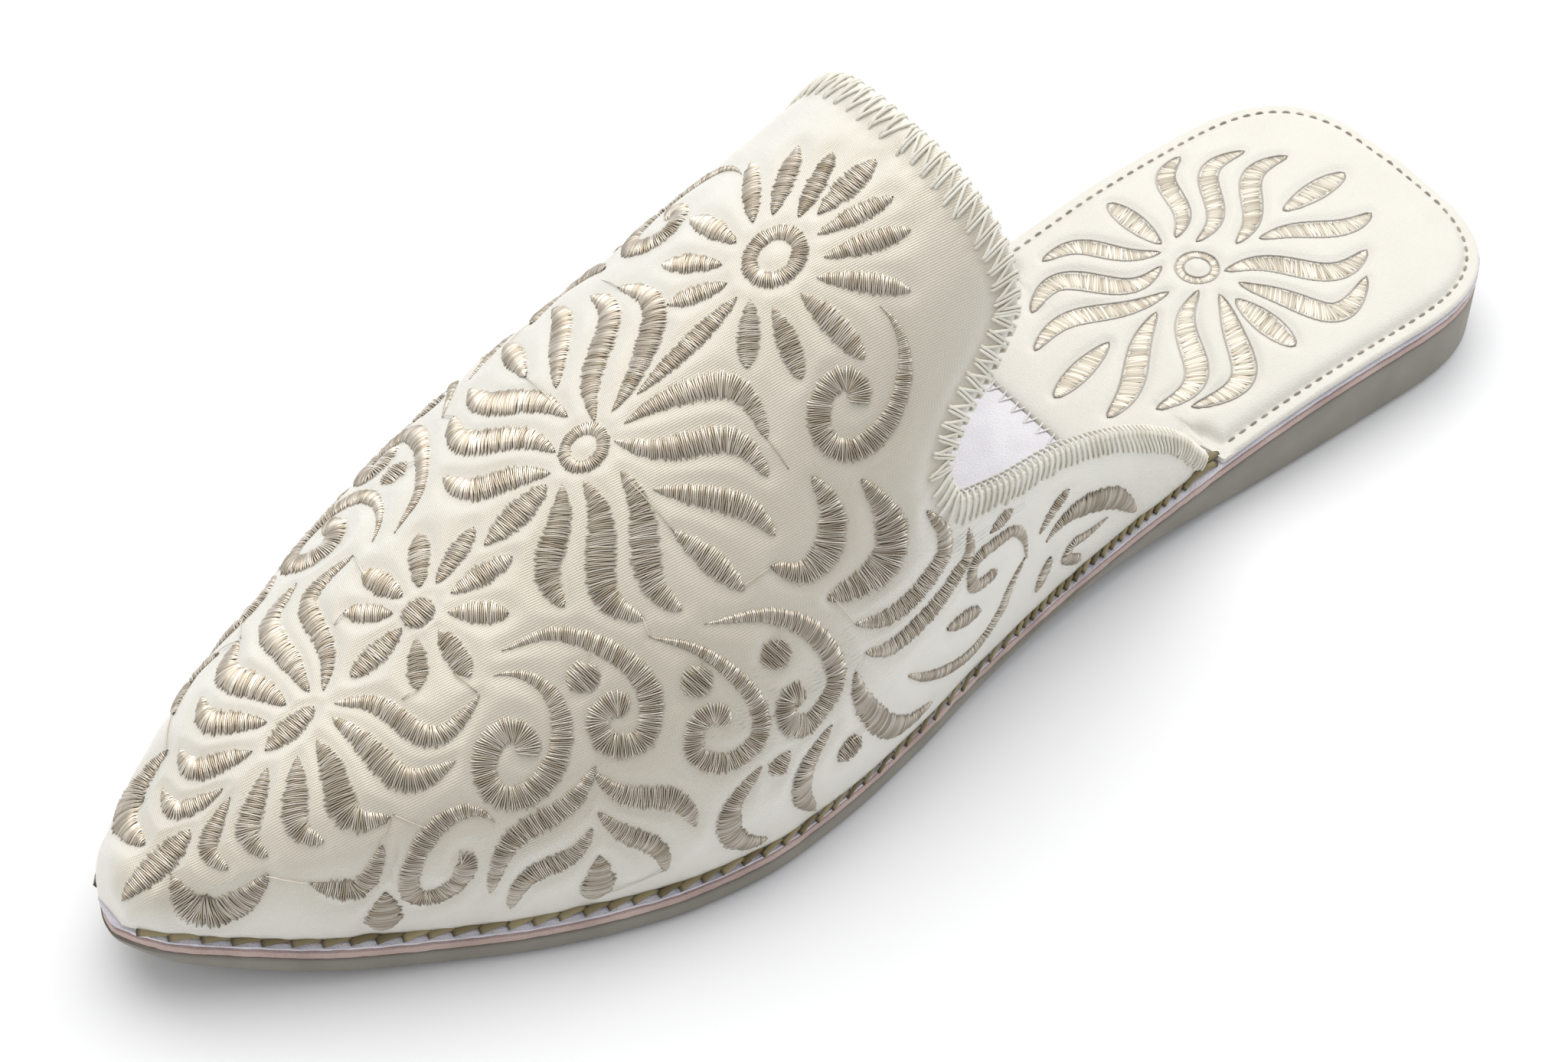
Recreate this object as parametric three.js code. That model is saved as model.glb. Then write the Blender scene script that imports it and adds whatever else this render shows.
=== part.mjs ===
// Embroidered satin babouche slipper for a left foot: a backless shoe with a pointed toe and a high
// tongue. Millimetres. +X runs to the toe, +Y to the wearer's left (the outer side), +Z up.
// Every table below is read at t, the distance behind the toe tip.
import * as THREE from "three";

// ---------- driving sizes
const LENGTH = 262; // sole edge, heel end to toe tip
const WALL = 2.2; // upper: satin, interlining and lining together
const FLANGE = 2; // ledge of the welt outside the upper
const WELT = 1.8;
const MIDSOLE = 1.1;
const SOCK = 1.4; // textile insole under the forefoot
const PAD_EDGE = 1.5; // padded leather insole at its rim
const PAD_CROWN = 1.5; // how much the padding rises from rim to middle
const GAP = 0.25; // clearance between neighbouring pieces
const BEVEL = 0.8; // worn lower edge of the outsole
const SEAM = 173; // t of the joint between textile and leather insole
const WING_END = 189; // t where the upper's side wings run out
const NOSE = 0.9; // t where the upper starts, over the toe of the welt

// ---------- resolution of the faceted solids
const SOLE_STATIONS = 46;
const UPPER_STATIONS = 40;
const UPPER_COLUMNS = 15; // from feather line to ridge, on each side
const PAD_COLUMNS = 10;
const SECTION_STEPS = 40;

// Half widths of the sole edge to the outer and inner side, before its two ends are rounded.
const EDGE = [
  { t: 0, outer: 3.4, inner: 5.8 },
  { t: 6, outer: 8.5, inner: 11.3 },
  { t: 12, outer: 12.8, inner: 15.6 },
  { t: 24, outer: 20.8, inner: 21.9 },
  { t: 37, outer: 27.8, inner: 27.2 },
  { t: 50, outer: 34.6, inner: 32.1 },
  { t: 62, outer: 39.7, inner: 36.3 },
  { t: 75, outer: 43.5, inner: 39.2 },
  { t: 88, outer: 45, inner: 40.2 },
  { t: 102, outer: 43.9, inner: 39.2 },
  { t: 118, outer: 41, inner: 35.8 },
  { t: 135, outer: 37.3, inner: 31.6 },
  { t: 155, outer: 34.2, inner: 28.4 },
  { t: 175, outer: 32.4, inner: 27.2 },
  { t: 195, outer: 31.8, inner: 27.2 },
  { t: 215, outer: 32, inner: 27.8 },
  { t: 234, outer: 32, inner: 28 },
  { t: LENGTH, outer: 32, inner: 28 },
];
const TOE_END = { depth: 6, fullness: 2.3 };
const HEEL_END = { depth: 30, fullness: 3 };

// Height of the welt's top (bed) and of the underside: toe spring, flat forefoot, arch, flat heel.
const PROFILE = [
  { t: 0, bed: 13.5, under: 8.4 },
  { t: 6, bed: 12.1, under: 5.8 },
  { t: 14, bed: 10.5, under: 3.6 },
  { t: 27, bed: 8.5, under: 1.5 },
  { t: 40, bed: 7.4, under: 0.4 },
  { t: 52, bed: 7, under: 0 },
  { t: 118, bed: 7, under: 0 },
  { t: 135, bed: 7.4, under: 1.3 },
  { t: 150, bed: 8.1, under: 2.5 },
  { t: 163, bed: 8.9, under: 2.9 },
  { t: 176, bed: 10, under: 2.4 },
  { t: 190, bed: 11.6, under: 0.9 },
  { t: 202, bed: 13.2, under: 0 },
  { t: 214, bed: 14.3, under: 0 },
  { t: 226, bed: 14.6, under: 0 },
  { t: LENGTH, bed: 14.6, under: 0 },
];

// The upper: the ledge that it leaves free on the welt, the height and sideways place of its ridge,
// and how full each side is (2 is an ellipse, more is squarer). Behind the tongue the ridge is only a
// guide for the wings.
const LAST = [
  { t: 0, ledge: 2, crown: 19.6, ridge: 0.3, outerFull: 2.6, innerFull: 2.4 },
  { t: 6, ledge: 2, crown: 21, ridge: 1.1, outerFull: 2.6, innerFull: 2.6 },
  { t: 14, ledge: 2, crown: 24.6, ridge: 1.4, outerFull: 2.6, innerFull: 3 },
  { t: 27, ledge: 2, crown: 31.2, ridge: 1.3, outerFull: 2.6, innerFull: 3.2 },
  { t: 43, ledge: 2, crown: 37.4, ridge: 1.1, outerFull: 2.4, innerFull: 3 },
  { t: 55, ledge: 2, crown: 42.8, ridge: 0.9, outerFull: 2, innerFull: 2.7 },
  { t: 70, ledge: 1.7, crown: 49.6, ridge: 0.8, outerFull: 1.8, innerFull: 2.45 },
  { t: 85, ledge: 1.2, crown: 57, ridge: 0.7, outerFull: 1.75, innerFull: 2.35 },
  { t: 104, ledge: 0.9, crown: 66, ridge: 0.2, outerFull: 1.75, innerFull: 2.4 },
  { t: 120, ledge: 0.8, crown: 73.8, ridge: -0.2, outerFull: 2, innerFull: 2.8 },
  { t: 139, ledge: 1.1, crown: 82.6, ridge: -0.2, outerFull: 2.25, innerFull: 3.4 },
  { t: 150, ledge: 1.4, crown: 87, ridge: -0.2, outerFull: 2.3, innerFull: 3.8 },
  { t: 163, ledge: 1.7, crown: 81, ridge: -0.2, outerFull: 2.3, innerFull: 2.7 },
  { t: 176, ledge: 1.9, crown: 66, ridge: -0.2, outerFull: 2.2, innerFull: 2.3 },
  { t: 195, ledge: 2, crown: 46, ridge: -0.2, outerFull: 2.2, innerFull: 2.2 },
];
const NOSE_END = { depth: 5, fullness: 2.2 };
const TUCK = 1.1; // how far the wall swells out over the feather line
const TUCK_HEIGHT = 0.16; // share of the section's height where it is widest

// The collar, by share of the way up from the feather line to the ridge: wing, throat, tongue.
const COLLAR = [
  { share: 0, t: WING_END },
  { share: 0.1, t: 184.5 },
  { share: 0.19, t: 180 },
  { share: 0.26, t: 173 },
  { share: 0.31, t: 163 },
  { share: 0.36, t: 149 },
  { share: 0.41, t: 136 },
  { share: 0.46, t: 128 },
  { share: 0.51, t: 127.5 },
  { share: 0.57, t: 132 },
  { share: 0.62, t: 140 },
  { share: 0.67, t: 145.5 },
  { share: 0.75, t: 147 },
  { share: 0.87, t: 146.3 },
  { share: 1, t: 146 },
];

// ---------- curves from the tables
// A cubic that runs through the rows of a table without overshooting any of them.
function smooth(rows, key, column) {
  const at = rows.map((row) => row[key]);
  const value = rows.map((row) => row[column]);
  const last = rows.length - 1;
  const slope = value.slice(1).map((v, i) => (v - value[i]) / (at[i + 1] - at[i]));
  const tangent = value.map((_, i) => {
    if (i === 0) return slope[0];
    if (i === last) return slope[last - 1];
    const product = slope[i - 1] * slope[i];
    return product <= 0 ? 0 : (2 * product) / (slope[i - 1] + slope[i]);
  });
  return (x) => {
    let i = 0;
    while (i < last - 1 && x > at[i + 1]) i += 1;
    const span = at[i + 1] - at[i];
    const u = THREE.MathUtils.clamp((x - at[i]) / span, 0, 1);
    const rise = u * u * (3 - 2 * u);
    const start = u * (1 - u) * (1 - u) * span * tangent[i];
    const end = u * u * (u - 1) * span * tangent[i + 1];
    return value[i] + (value[i + 1] - value[i]) * rise + start + end;
  };
}

// How far a rounded end has opened: 0 at its tip, 1 once its full depth is passed.
function opening(distance, { depth, fullness }) {
  const rest = 1 - THREE.MathUtils.clamp(distance / depth, 0, 1);
  return (1 - rest ** fullness) ** (1 / fullness);
}

const bodyWidth = {
  outer: smooth(EDGE, "t", "outer"),
  inner: smooth(EDGE, "t", "inner"),
};
const bed = smooth(PROFILE, "t", "bed");
const under = smooth(PROFILE, "t", "under");
const crown = smooth(LAST, "t", "crown");
const ridge = smooth(LAST, "t", "ridge");
const ledge = smooth(LAST, "t", "ledge");
const fullness = {
  outer: smooth(LAST, "t", "outerFull"),
  inner: smooth(LAST, "t", "innerFull"),
};
const collar = smooth(COLLAR, "share", "t");
const sign = { outer: 1, inner: -1 };

// Half width of the sole edge on one side, both ends rounded.
function edge(t, side) {
  return bodyWidth[side](t) * opening(t, TOE_END) * opening(LENGTH - t, HEEL_END);
}

// A point of the part's frame, from the distance behind the toe tip.
function place(t, y, z) {
  return new THREE.Vector3(LENGTH / 2 - t, y, z);
}

// ---------- closed bodies from rows of points
// Joins equal points and drops the faces that collapse where rows meet in one point.
function meshOf(name, points, faces, material) {
  const kept = new Map();
  const position = [];
  const index = points.map((p) => {
    const label = `${p.x.toFixed(4)},${p.y.toFixed(4)},${p.z.toFixed(4)}`;
    if (!kept.has(label)) {
      kept.set(label, position.length / 3);
      position.push(p.x, p.y, p.z);
    }
    return kept.get(label);
  });
  const triangles = faces
    .flatMap(([a, b, c, d]) => [[a, b, c], [a, c, d]])
    .map((face) => face.map((i) => index[i]))
    .filter(([a, b, c]) => a !== b && b !== c && c !== a);
  const geometry = new THREE.BufferGeometry();
  geometry.setAttribute("position", new THREE.Float32BufferAttribute(position, 3));
  geometry.setIndex(triangles.flat());
  geometry.computeVertexNormals();
  const mesh = new THREE.Mesh(geometry, material);
  mesh.name = name;
  return mesh;
}

// The body between an upper and a lower sheet of points with the same rows and columns.
function between(name, top, bottom, material) {
  const rows = top.length;
  const columns = top[0].length;
  const count = rows * columns;
  const up = (i, j) => i * columns + j;
  const down = (i, j) => count + i * columns + j;
  const faces = [];
  for (let i = 0; i < rows - 1; i += 1) {
    for (let j = 0; j < columns - 1; j += 1) {
      faces.push([up(i, j), up(i, j + 1), up(i + 1, j + 1), up(i + 1, j)]);
      faces.push([down(i, j), down(i + 1, j), down(i + 1, j + 1), down(i, j + 1)]);
    }
    const j = columns - 1;
    faces.push([up(i, 0), up(i + 1, 0), down(i + 1, 0), down(i, 0)]);
    faces.push([up(i + 1, j), up(i, j), down(i, j), down(i + 1, j)]);
  }
  for (let j = 0; j < columns - 1; j += 1) {
    const i = rows - 1;
    faces.push([up(0, j + 1), up(0, j), down(0, j), down(0, j + 1)]);
    faces.push([up(i, j), up(i, j + 1), down(i, j + 1), down(i, j)]);
  }
  return meshOf(name, [...top.flat(), ...bottom.flat()], faces, material);
}

// ---------- sole
// Stations from one t to another, closer together where an end is rounded.
function stations(from, to, count, toePower, heelPower) {
  return Array.from({ length: count + 1 }, (_, i) => {
    const u = i / count;
    const eased = u < 0.5 ? (2 * u) ** toePower / 2 : 1 - (2 - 2 * u) ** heelPower / 2;
    return from + (to - from) * eased;
  });
}

// The sole edge on one side at a station, moved inward square to the edge.
function insetEdge(t, side, inset) {
  if (t === 0) return { t: inset, y: 0 };
  if (t === LENGTH) return { t: LENGTH - inset, y: 0 };
  const step = 0.05;
  const before = Math.max(t - step, 0);
  const after = Math.min(t + step, LENGTH);
  const along = new THREE.Vector2(after - before, edge(after, side) - edge(before, side)).normalize();
  return { t: t + along.y * inset, y: sign[side] * (edge(t, side) - along.x * inset) };
}

// One row across a layer: the inset edge on both sides and the columns between them.
function rowAcross(t, inset, columns, height) {
  const inner = insetEdge(t, "inner", inset);
  const outer = insetEdge(t, "outer", inset);
  return Array.from({ length: columns + 1 }, (_, j) => {
    const u = j / columns;
    const at = THREE.MathUtils.lerp(inner.t, outer.t, u);
    return place(at, THREE.MathUtils.lerp(inner.y, outer.y, u), height(at, u));
  });
}

// A layer of the sole between two heights, its edge moved in by a fixed inset.
function soleLayer(name, inset, low, high, material) {
  const at = stations(0, LENGTH, SOLE_STATIONS, 2, 2);
  const top = at.map((t) => rowAcross(t, inset, 1, high));
  const bottom = at.map((t) => rowAcross(t, inset, 1, low));
  return between(name, top, bottom, material);
}

const weltLow = (t) => bed(t) - WELT;
const midsoleHigh = (t) => weltLow(t) - GAP;
const midsoleLow = (t) => midsoleHigh(t) - MIDSOLE;
const outsoleHigh = (t) => midsoleLow(t) - GAP;

// The rubber sole: an even sheet under the forefoot that thickens into a low heel wedge.
function outsole(material) {
  const at = stations(0, LENGTH, SOLE_STATIONS, 2, 2);
  const wide = at.map((t) => rowAcross(t, 0, 1, outsoleHigh));
  const skirt = at.map((t) => rowAcross(t, 0, 1, (x) => under(x) + BEVEL));
  const foot = at.map((t) => rowAcross(t, BEVEL, 1, under));
  const top = wide.map((row, i) => [skirt[i][0], row[0], row[1], skirt[i][1]]);
  const bottom = foot.map(([inner, outer]) => [inner, inner, outer, outer]);
  return between("outsole", top, bottom, material);
}

// ---------- insole
const INSIDE = FLANGE + WALL + 0.4; // inset that clears the inner face of the upper

// The textile sock under the forefoot, cut square at the seam.
function insoleForepart(material) {
  const at = stations(0, SEAM - GAP, 26, 2, 1);
  const low = (t) => bed(t) + GAP;
  const high = (t) => low(t) + SOCK;
  const top = at.map((t) => rowAcross(t, INSIDE, 2, high));
  const bottom = at.map((t) => rowAcross(t, INSIDE, 2, low));
  return between("insole_forepart", top, bottom, material);
}

// The leather pad: between the wings in front, out to the sole edge behind them, crowned in the middle.
function insolePad(material) {
  const flare = smooth(
    [{ t: SEAM, inset: INSIDE }, { t: WING_END + 1, inset: INSIDE }, { t: WING_END + 3, inset: 0.1 }],
    "t",
    "inset",
  );
  const low = (t) => bed(t) + GAP;
  const high = (t, u) => {
    const across = 1 - Math.abs(2 * u - 1) ** 4;
    const fromHeel = opening(LENGTH - t, { depth: 22, fullness: 2 });
    const fromSeam = opening(t - SEAM, { depth: 16, fullness: 2 });
    return low(t) + PAD_EDGE + PAD_CROWN * across * fromHeel * fromSeam;
  };
  const front = stations(SEAM, WING_END, 7, 1, 1);
  const step = [WING_END + 1, WING_END + 2, WING_END + 3];
  const back = stations(WING_END + 5, LENGTH, 16, 1, 2);
  const at = [...front, ...step, ...back];
  const top = at.map((t) => rowAcross(t, flare(t), PAD_COLUMNS, high));
  const bottom = at.map((t) => rowAcross(t, flare(t), PAD_COLUMNS, low));
  return between("insole_heel_pad", top, bottom, material);
}

// ---------- upper
// Half a section of the last, feather line to ridge, made smaller all round by the wall inside.
function halfSection(t, side, shrink) {
  const foot = bed(t) + GAP;
  const open = opening(t - NOSE - shrink, NOSE_END);
  const edgeY = Math.max(edge(t, side) - ledge(t) * opening(t - NOSE, TOE_END) - shrink, 0);
  const ridgeY = ridge(t) * open;
  const centre = sign[side] * ridgeY;
  const featherY = t - NOSE - shrink < 1e-6 ? centre : Math.max(edgeY, centre);
  const height = (crown(t) - shrink - foot) * open;
  const widestZ = foot + height * TUCK_HEIGHT;
  const widest = featherY - centre + TUCK * open;
  const n = fullness[side](t);
  const points = [];
  for (let i = 0; i < SECTION_STEPS / 4; i += 1) {
    const angle = (i / (SECTION_STEPS / 4)) * (Math.PI / 2);
    const y = featherY + TUCK * open * Math.sin(angle);
    points.push(new THREE.Vector2(y, widestZ - height * TUCK_HEIGHT * Math.cos(angle)));
  }
  for (let i = 0; i <= SECTION_STEPS; i += 1) {
    const angle = (i / SECTION_STEPS) * (Math.PI / 2);
    const c = Math.cos(angle);
    const s = Math.sin(angle);
    const radius = (c ** n + s ** n) ** (-1 / n);
    const z = widestZ + (height - height * TUCK_HEIGHT) * radius * s;
    points.push(new THREE.Vector2(centre + widest * radius * c, z));
  }
  return points.map((p) => new THREE.Vector2(sign[side] * p.x, p.y));
}

// The point at a share of a polyline's length.
function alongLine(points, share) {
  const lengths = points.slice(1).map((p, i) => p.distanceTo(points[i]));
  let rest = share * lengths.reduce((sum, l) => sum + l, 0);
  let i = 0;
  while (i < lengths.length - 1 && rest > lengths[i]) {
    rest -= lengths[i];
    i += 1;
  }
  const u = lengths[i] > 0 ? Math.min(rest / lengths[i], 1) : 0;
  return points[i].clone().lerp(points[i + 1], u);
}

// A point of the upper: t, side, and the share of the way up from feather line to ridge.
function upperPoint(t, side, share, shrink) {
  const p = alongLine(halfSection(t, side, shrink), share);
  return place(t, p.x, p.y);
}

// One hollow body, open at the collar and underneath, where the insole and welt close it.
function upper(material) {
  const face = (shrink) => {
    const start = NOSE + shrink;
    return Array.from({ length: UPPER_STATIONS + 1 }, (_, i) => {
      const u = i / UPPER_STATIONS;
      const row = [];
      for (let j = -UPPER_COLUMNS; j <= UPPER_COLUMNS; j += 1) {
        const share = 1 - Math.abs(j) / UPPER_COLUMNS;
        const t = start + (collar(share) - start) * u ** 1.6;
        row.push(upperPoint(t, j < 0 ? "inner" : "outer", share, shrink));
      }
      return row;
    });
  };
  return between("upper", face(0), face(WALL), material);
}

// ---------- materials
const satin = new THREE.MeshStandardMaterial({ color: 0xe9dfc6, roughness: 0.45, metalness: 0 });
const leather = new THREE.MeshStandardMaterial({ color: 0xf0ecdf, roughness: 0.55, metalness: 0 });
const textile = new THREE.MeshStandardMaterial({ color: 0xe4e2e4, roughness: 0.9, metalness: 0 });
const whiteBoard = new THREE.MeshStandardMaterial({ color: 0xe6e4ee, roughness: 0.85, metalness: 0 });
const pinkBoard = new THREE.MeshStandardMaterial({ color: 0xa28c86, roughness: 0.8, metalness: 0 });
const rubber = new THREE.MeshStandardMaterial({ color: 0x8f8a7c, roughness: 0.7, metalness: 0 });

// ---------- assembly
const slipper = new THREE.Group();
slipper.position.y = (Math.max(...EDGE.map((row) => row.inner)) - Math.max(...EDGE.map((row) => row.outer))) / 2;
slipper.add(outsole(rubber));
slipper.add(soleLayer("midsole", 0.2, midsoleLow, midsoleHigh, pinkBoard));
slipper.add(soleLayer("welt", 0, weltLow, bed, whiteBoard));
slipper.add(insoleForepart(textile));
slipper.add(insolePad(leather));
slipper.add(upper(satin));

export default slipper;
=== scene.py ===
import math

import bmesh
import bpy
import numpy as np
from mathutils import Matrix, Vector, kdtree, noise
from mathutils.bvhtree import BVHTree


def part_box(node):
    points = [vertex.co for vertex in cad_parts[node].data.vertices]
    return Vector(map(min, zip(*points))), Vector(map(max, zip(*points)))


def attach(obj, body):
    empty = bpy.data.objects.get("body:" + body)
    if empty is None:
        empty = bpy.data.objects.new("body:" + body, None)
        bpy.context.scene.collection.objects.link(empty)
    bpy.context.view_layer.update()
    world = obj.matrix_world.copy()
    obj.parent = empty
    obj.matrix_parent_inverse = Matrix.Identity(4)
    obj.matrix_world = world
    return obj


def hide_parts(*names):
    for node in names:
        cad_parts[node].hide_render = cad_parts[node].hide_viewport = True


# An embroidered satin babouche slipper for a left foot. Working sizes are in millimetres on the
# maker's own measure: t runs from the toe tip back, arc runs from the ridge down the vamp
# (positive on the outer side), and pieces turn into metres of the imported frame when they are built.

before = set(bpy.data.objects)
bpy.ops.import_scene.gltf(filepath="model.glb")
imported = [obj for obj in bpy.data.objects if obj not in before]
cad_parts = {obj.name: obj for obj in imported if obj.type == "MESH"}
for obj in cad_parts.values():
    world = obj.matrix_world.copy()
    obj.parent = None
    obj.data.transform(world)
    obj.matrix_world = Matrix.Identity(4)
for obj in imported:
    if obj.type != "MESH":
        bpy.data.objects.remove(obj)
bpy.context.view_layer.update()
MM = 0.001
SOLE_LOW, SOLE_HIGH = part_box("outsole")
LENGTH = round((SOLE_HIGH.x - SOLE_LOW.x) / MM, 1)
BODY = "root"

# ---------- sizes shared with the solids
WALL = 2.2
WELT = 1.8
MIDSOLE = 1.1
SOCK = 1.4
PAD_EDGE = 1.5
PAD_CROWN = 1.5
GAP = 0.25
SEAM = 173
WING_END = 189
NOSE = 0.9
INSIDE = 2 + WALL + 0.4

EDGE = dict(
    t=(0, 6, 12, 24, 37, 50, 62, 75, 88, 102, 118, 135, 155, 175, 195, 215, 234, LENGTH),
    outer=(3.4, 8.5, 12.8, 20.8, 27.8, 34.6, 39.7, 43.5, 45, 43.9, 41, 37.3, 34.2, 32.4, 31.8, 32, 32, 32),
    inner=(
        5.8, 11.3, 15.6, 21.9, 27.2, 32.1, 36.3, 39.2, 40.2,
        39.2, 35.8, 31.6, 28.4, 27.2, 27.2, 27.8, 28, 28,
    ),
)
TOE_END = (6, 2.3)
HEEL_END = (30, 3)
PROFILE = dict(
    t=(0, 6, 14, 27, 40, 52, 118, 135, 150, 163, 176, 190, 202, 214, 226, LENGTH),
    bed=(13.5, 12.1, 10.5, 8.5, 7.4, 7, 7, 7.4, 8.1, 8.9, 10, 11.6, 13.2, 14.3, 14.6, 14.6),
    under=(8.4, 5.8, 3.6, 1.5, 0.4, 0, 0, 1.3, 2.5, 2.9, 2.4, 0.9, 0, 0, 0, 0),
)
LAST = dict(
    t=(0, 6, 14, 27, 43, 55, 70, 85, 104, 120, 139, 150, 163, 176, 195),
    ledge=(2, 2, 2, 2, 2, 2, 1.7, 1.2, 0.9, 0.8, 1.1, 1.4, 1.7, 1.9, 2),
    crown=(19.6, 21, 24.6, 31.2, 37.4, 42.8, 49.6, 57, 66, 73.8, 82.6, 87, 81, 66, 46),
    ridge=(0.3, 1.1, 1.4, 1.3, 1.1, 0.9, 0.8, 0.7, 0.2, -0.2, -0.2, -0.2, -0.2, -0.2, -0.2),
    outer=(2.6, 2.6, 2.6, 2.6, 2.4, 2, 1.8, 1.75, 1.75, 2, 2.25, 2.3, 2.3, 2.2, 2.2),
    inner=(2.4, 2.6, 3, 3.2, 3, 2.7, 2.45, 2.35, 2.4, 2.8, 3.4, 3.8, 2.7, 2.3, 2.2),
)
NOSE_END = (5, 2.2)
TUCK = 1.1
TUCK_HEIGHT = 0.16
COLLAR = dict(
    share=(0, 0.1, 0.19, 0.26, 0.31, 0.36, 0.41, 0.46, 0.51, 0.57, 0.62, 0.67, 0.75, 0.87, 1),
    t=(WING_END, 184.5, 180, 173, 163, 149, 136, 128, 127.5, 132, 140, 145.5, 147, 146.3, 146),
)
SHIFT = (max(EDGE["inner"]) - max(EDGE["outer"])) / 2  # centres the widest place of the sole


# ---------- curves from the tables
def smooth(table, key, column):
    """A cubic through the table's rows that doesn't overshoot any of them."""
    at, value = np.array(table[key], float), np.array(table[column], float)
    slope = np.diff(value) / np.diff(at)
    product, total = slope[:-1] * slope[1:], slope[:-1] + slope[1:]
    inner = np.where(product <= 0, 0, 2 * product / np.where(product <= 0, 1, total))
    tangent = np.concatenate([slope[:1], inner, slope[-1:]])

    def read(x):
        i = np.clip(np.searchsorted(at, x) - 1, 0, len(at) - 2)
        span = at[i + 1] - at[i]
        u = np.clip((x - at[i]) / span, 0, 1)
        rise = u * u * (3 - 2 * u)
        start = u * (1 - u) ** 2 * span * tangent[i]
        end = u * u * (u - 1) * span * tangent[i + 1]
        return value[i] + (value[i + 1] - value[i]) * rise + start + end

    return read


def opening(distance, end):
    """How far a rounded end has opened: 0 at its tip, 1 once its full depth is passed."""
    depth, fullness = end
    rest = 1 - np.clip(np.asarray(distance, float) / depth, 0, 1)
    return (1 - rest**fullness) ** (1 / fullness)


half_width = {1: smooth(EDGE, "t", "outer"), -1: smooth(EDGE, "t", "inner")}
fullness = {1: smooth(LAST, "t", "outer"), -1: smooth(LAST, "t", "inner")}
bed = smooth(PROFILE, "t", "bed")
under = smooth(PROFILE, "t", "under")
crown = smooth(LAST, "t", "crown")
ridge = smooth(LAST, "t", "ridge")
ledge = smooth(LAST, "t", "ledge")
collar = smooth(COLLAR, "share", "t")


def edge(t, side):
    """Half width of the sole edge, both ends rounded; side is 1 for the outer side, -1 for the inner."""
    return half_width[side](t) * opening(t, TOE_END) * opening(LENGTH - t, HEEL_END)


def place(t, y, z):
    """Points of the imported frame, in metres, from the maker's measure."""
    t, y, z = np.broadcast_arrays(t, y, z)
    return np.stack([LENGTH / 2 - t, y + SHIFT, z], -1) * MM


# ---------- the last
SECTION_TUCK_STEPS = 12
SECTION_STEPS = 64


def half_section(t, side, shrink):
    """Half sections of the last, feather line to ridge, one row of (y, z) for each t."""
    t = np.asarray(t, float)[:, None]
    foot = bed(t) + GAP
    start = t - NOSE - shrink
    opened = opening(start, NOSE_END)
    edge_y = np.maximum(edge(t, side) - ledge(t) * opening(t - NOSE, TOE_END) - shrink, 0)
    centre = side * ridge(t) * opened
    feather = np.where(start < 1e-6, centre, np.maximum(edge_y, centre))
    height = (crown(t) - shrink - foot) * opened
    widest_z = foot + height * TUCK_HEIGHT
    widest = feather - centre + TUCK * opened
    n = fullness[side](t)
    a = np.linspace(0, math.pi / 2, SECTION_TUCK_STEPS, endpoint=False)[None]
    b = np.linspace(0, math.pi / 2, SECTION_STEPS)[None]
    radius = (np.cos(b) ** n + np.sin(b) ** n) ** (-1 / n)
    y = np.concatenate([feather + TUCK * opened * np.sin(a), centre + widest * radius * np.cos(b)], 1)
    low = widest_z - height * TUCK_HEIGHT * np.cos(a)
    z = np.concatenate([low, widest_z + height * (1 - TUCK_HEIGHT) * radius * np.sin(b)], 1)
    return side * y, z


def along_section(t, side, share, shrink=0.0):
    """Points at a share of the way up from feather line to ridge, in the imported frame."""
    y, z = half_section(t, side, shrink)
    lengths = np.hypot(np.diff(y, axis=1), np.diff(z, axis=1))
    walked = np.concatenate([np.zeros((len(y), 1)), np.cumsum(lengths, 1)], 1)
    target = np.clip(np.asarray(share, float), 0, 1) * walked[:, -1]
    i = np.clip((walked <= target[:, None]).sum(1) - 1, 0, lengths.shape[1] - 1)
    row = np.arange(len(y))
    u = np.clip((target - walked[row, i]) / np.maximum(lengths[row, i], 1e-9), 0, 1)
    return place(t, y[row, i] * (1 - u) + y[row, i + 1] * u, z[row, i] * (1 - u) + z[row, i + 1] * u)


def section_length(t, side):
    y, z = half_section(t, side, 0.0)
    return np.hypot(np.diff(y, axis=1), np.diff(z, axis=1)).sum(1)


def on_vamp(t, arc, lift=0.0):
    """Points of the upper's outer face from t and the arc from the ridge, lifted off it by lift."""
    t, arc, lift = (np.asarray(v, float) for v in np.broadcast_arrays(t, arc, lift))
    step = 0.3

    def at(t, arc):
        points = np.empty((len(t), 3))
        for side in (1, -1):
            chosen = arc >= 0 if side == 1 else arc < 0
            if chosen.any():
                share = 1 - np.abs(arc[chosen]) / np.maximum(section_length(t[chosen], side), 1e-6)
                points[chosen] = along_section(t[chosen], side, share)
        return points

    forward = at(t + step, arc) - at(np.maximum(t - step, NOSE + 0.05), arc)
    across = at(t, arc + step) - at(t, arc - step)
    up = np.cross(across, forward)
    up /= np.maximum(np.linalg.norm(up, axis=1, keepdims=True), 1e-12)
    return at(t, arc) + up * lift[:, None] * MM, up


# ---------- meshes
def grid_faces(rows, columns, start=0):
    i, j = np.meshgrid(np.arange(rows - 1), np.arange(columns - 1), indexing="ij")
    a = (start + i * columns + j).ravel()
    return np.stack([a, a + 1, a + columns + 1, a + columns], 1)


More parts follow.
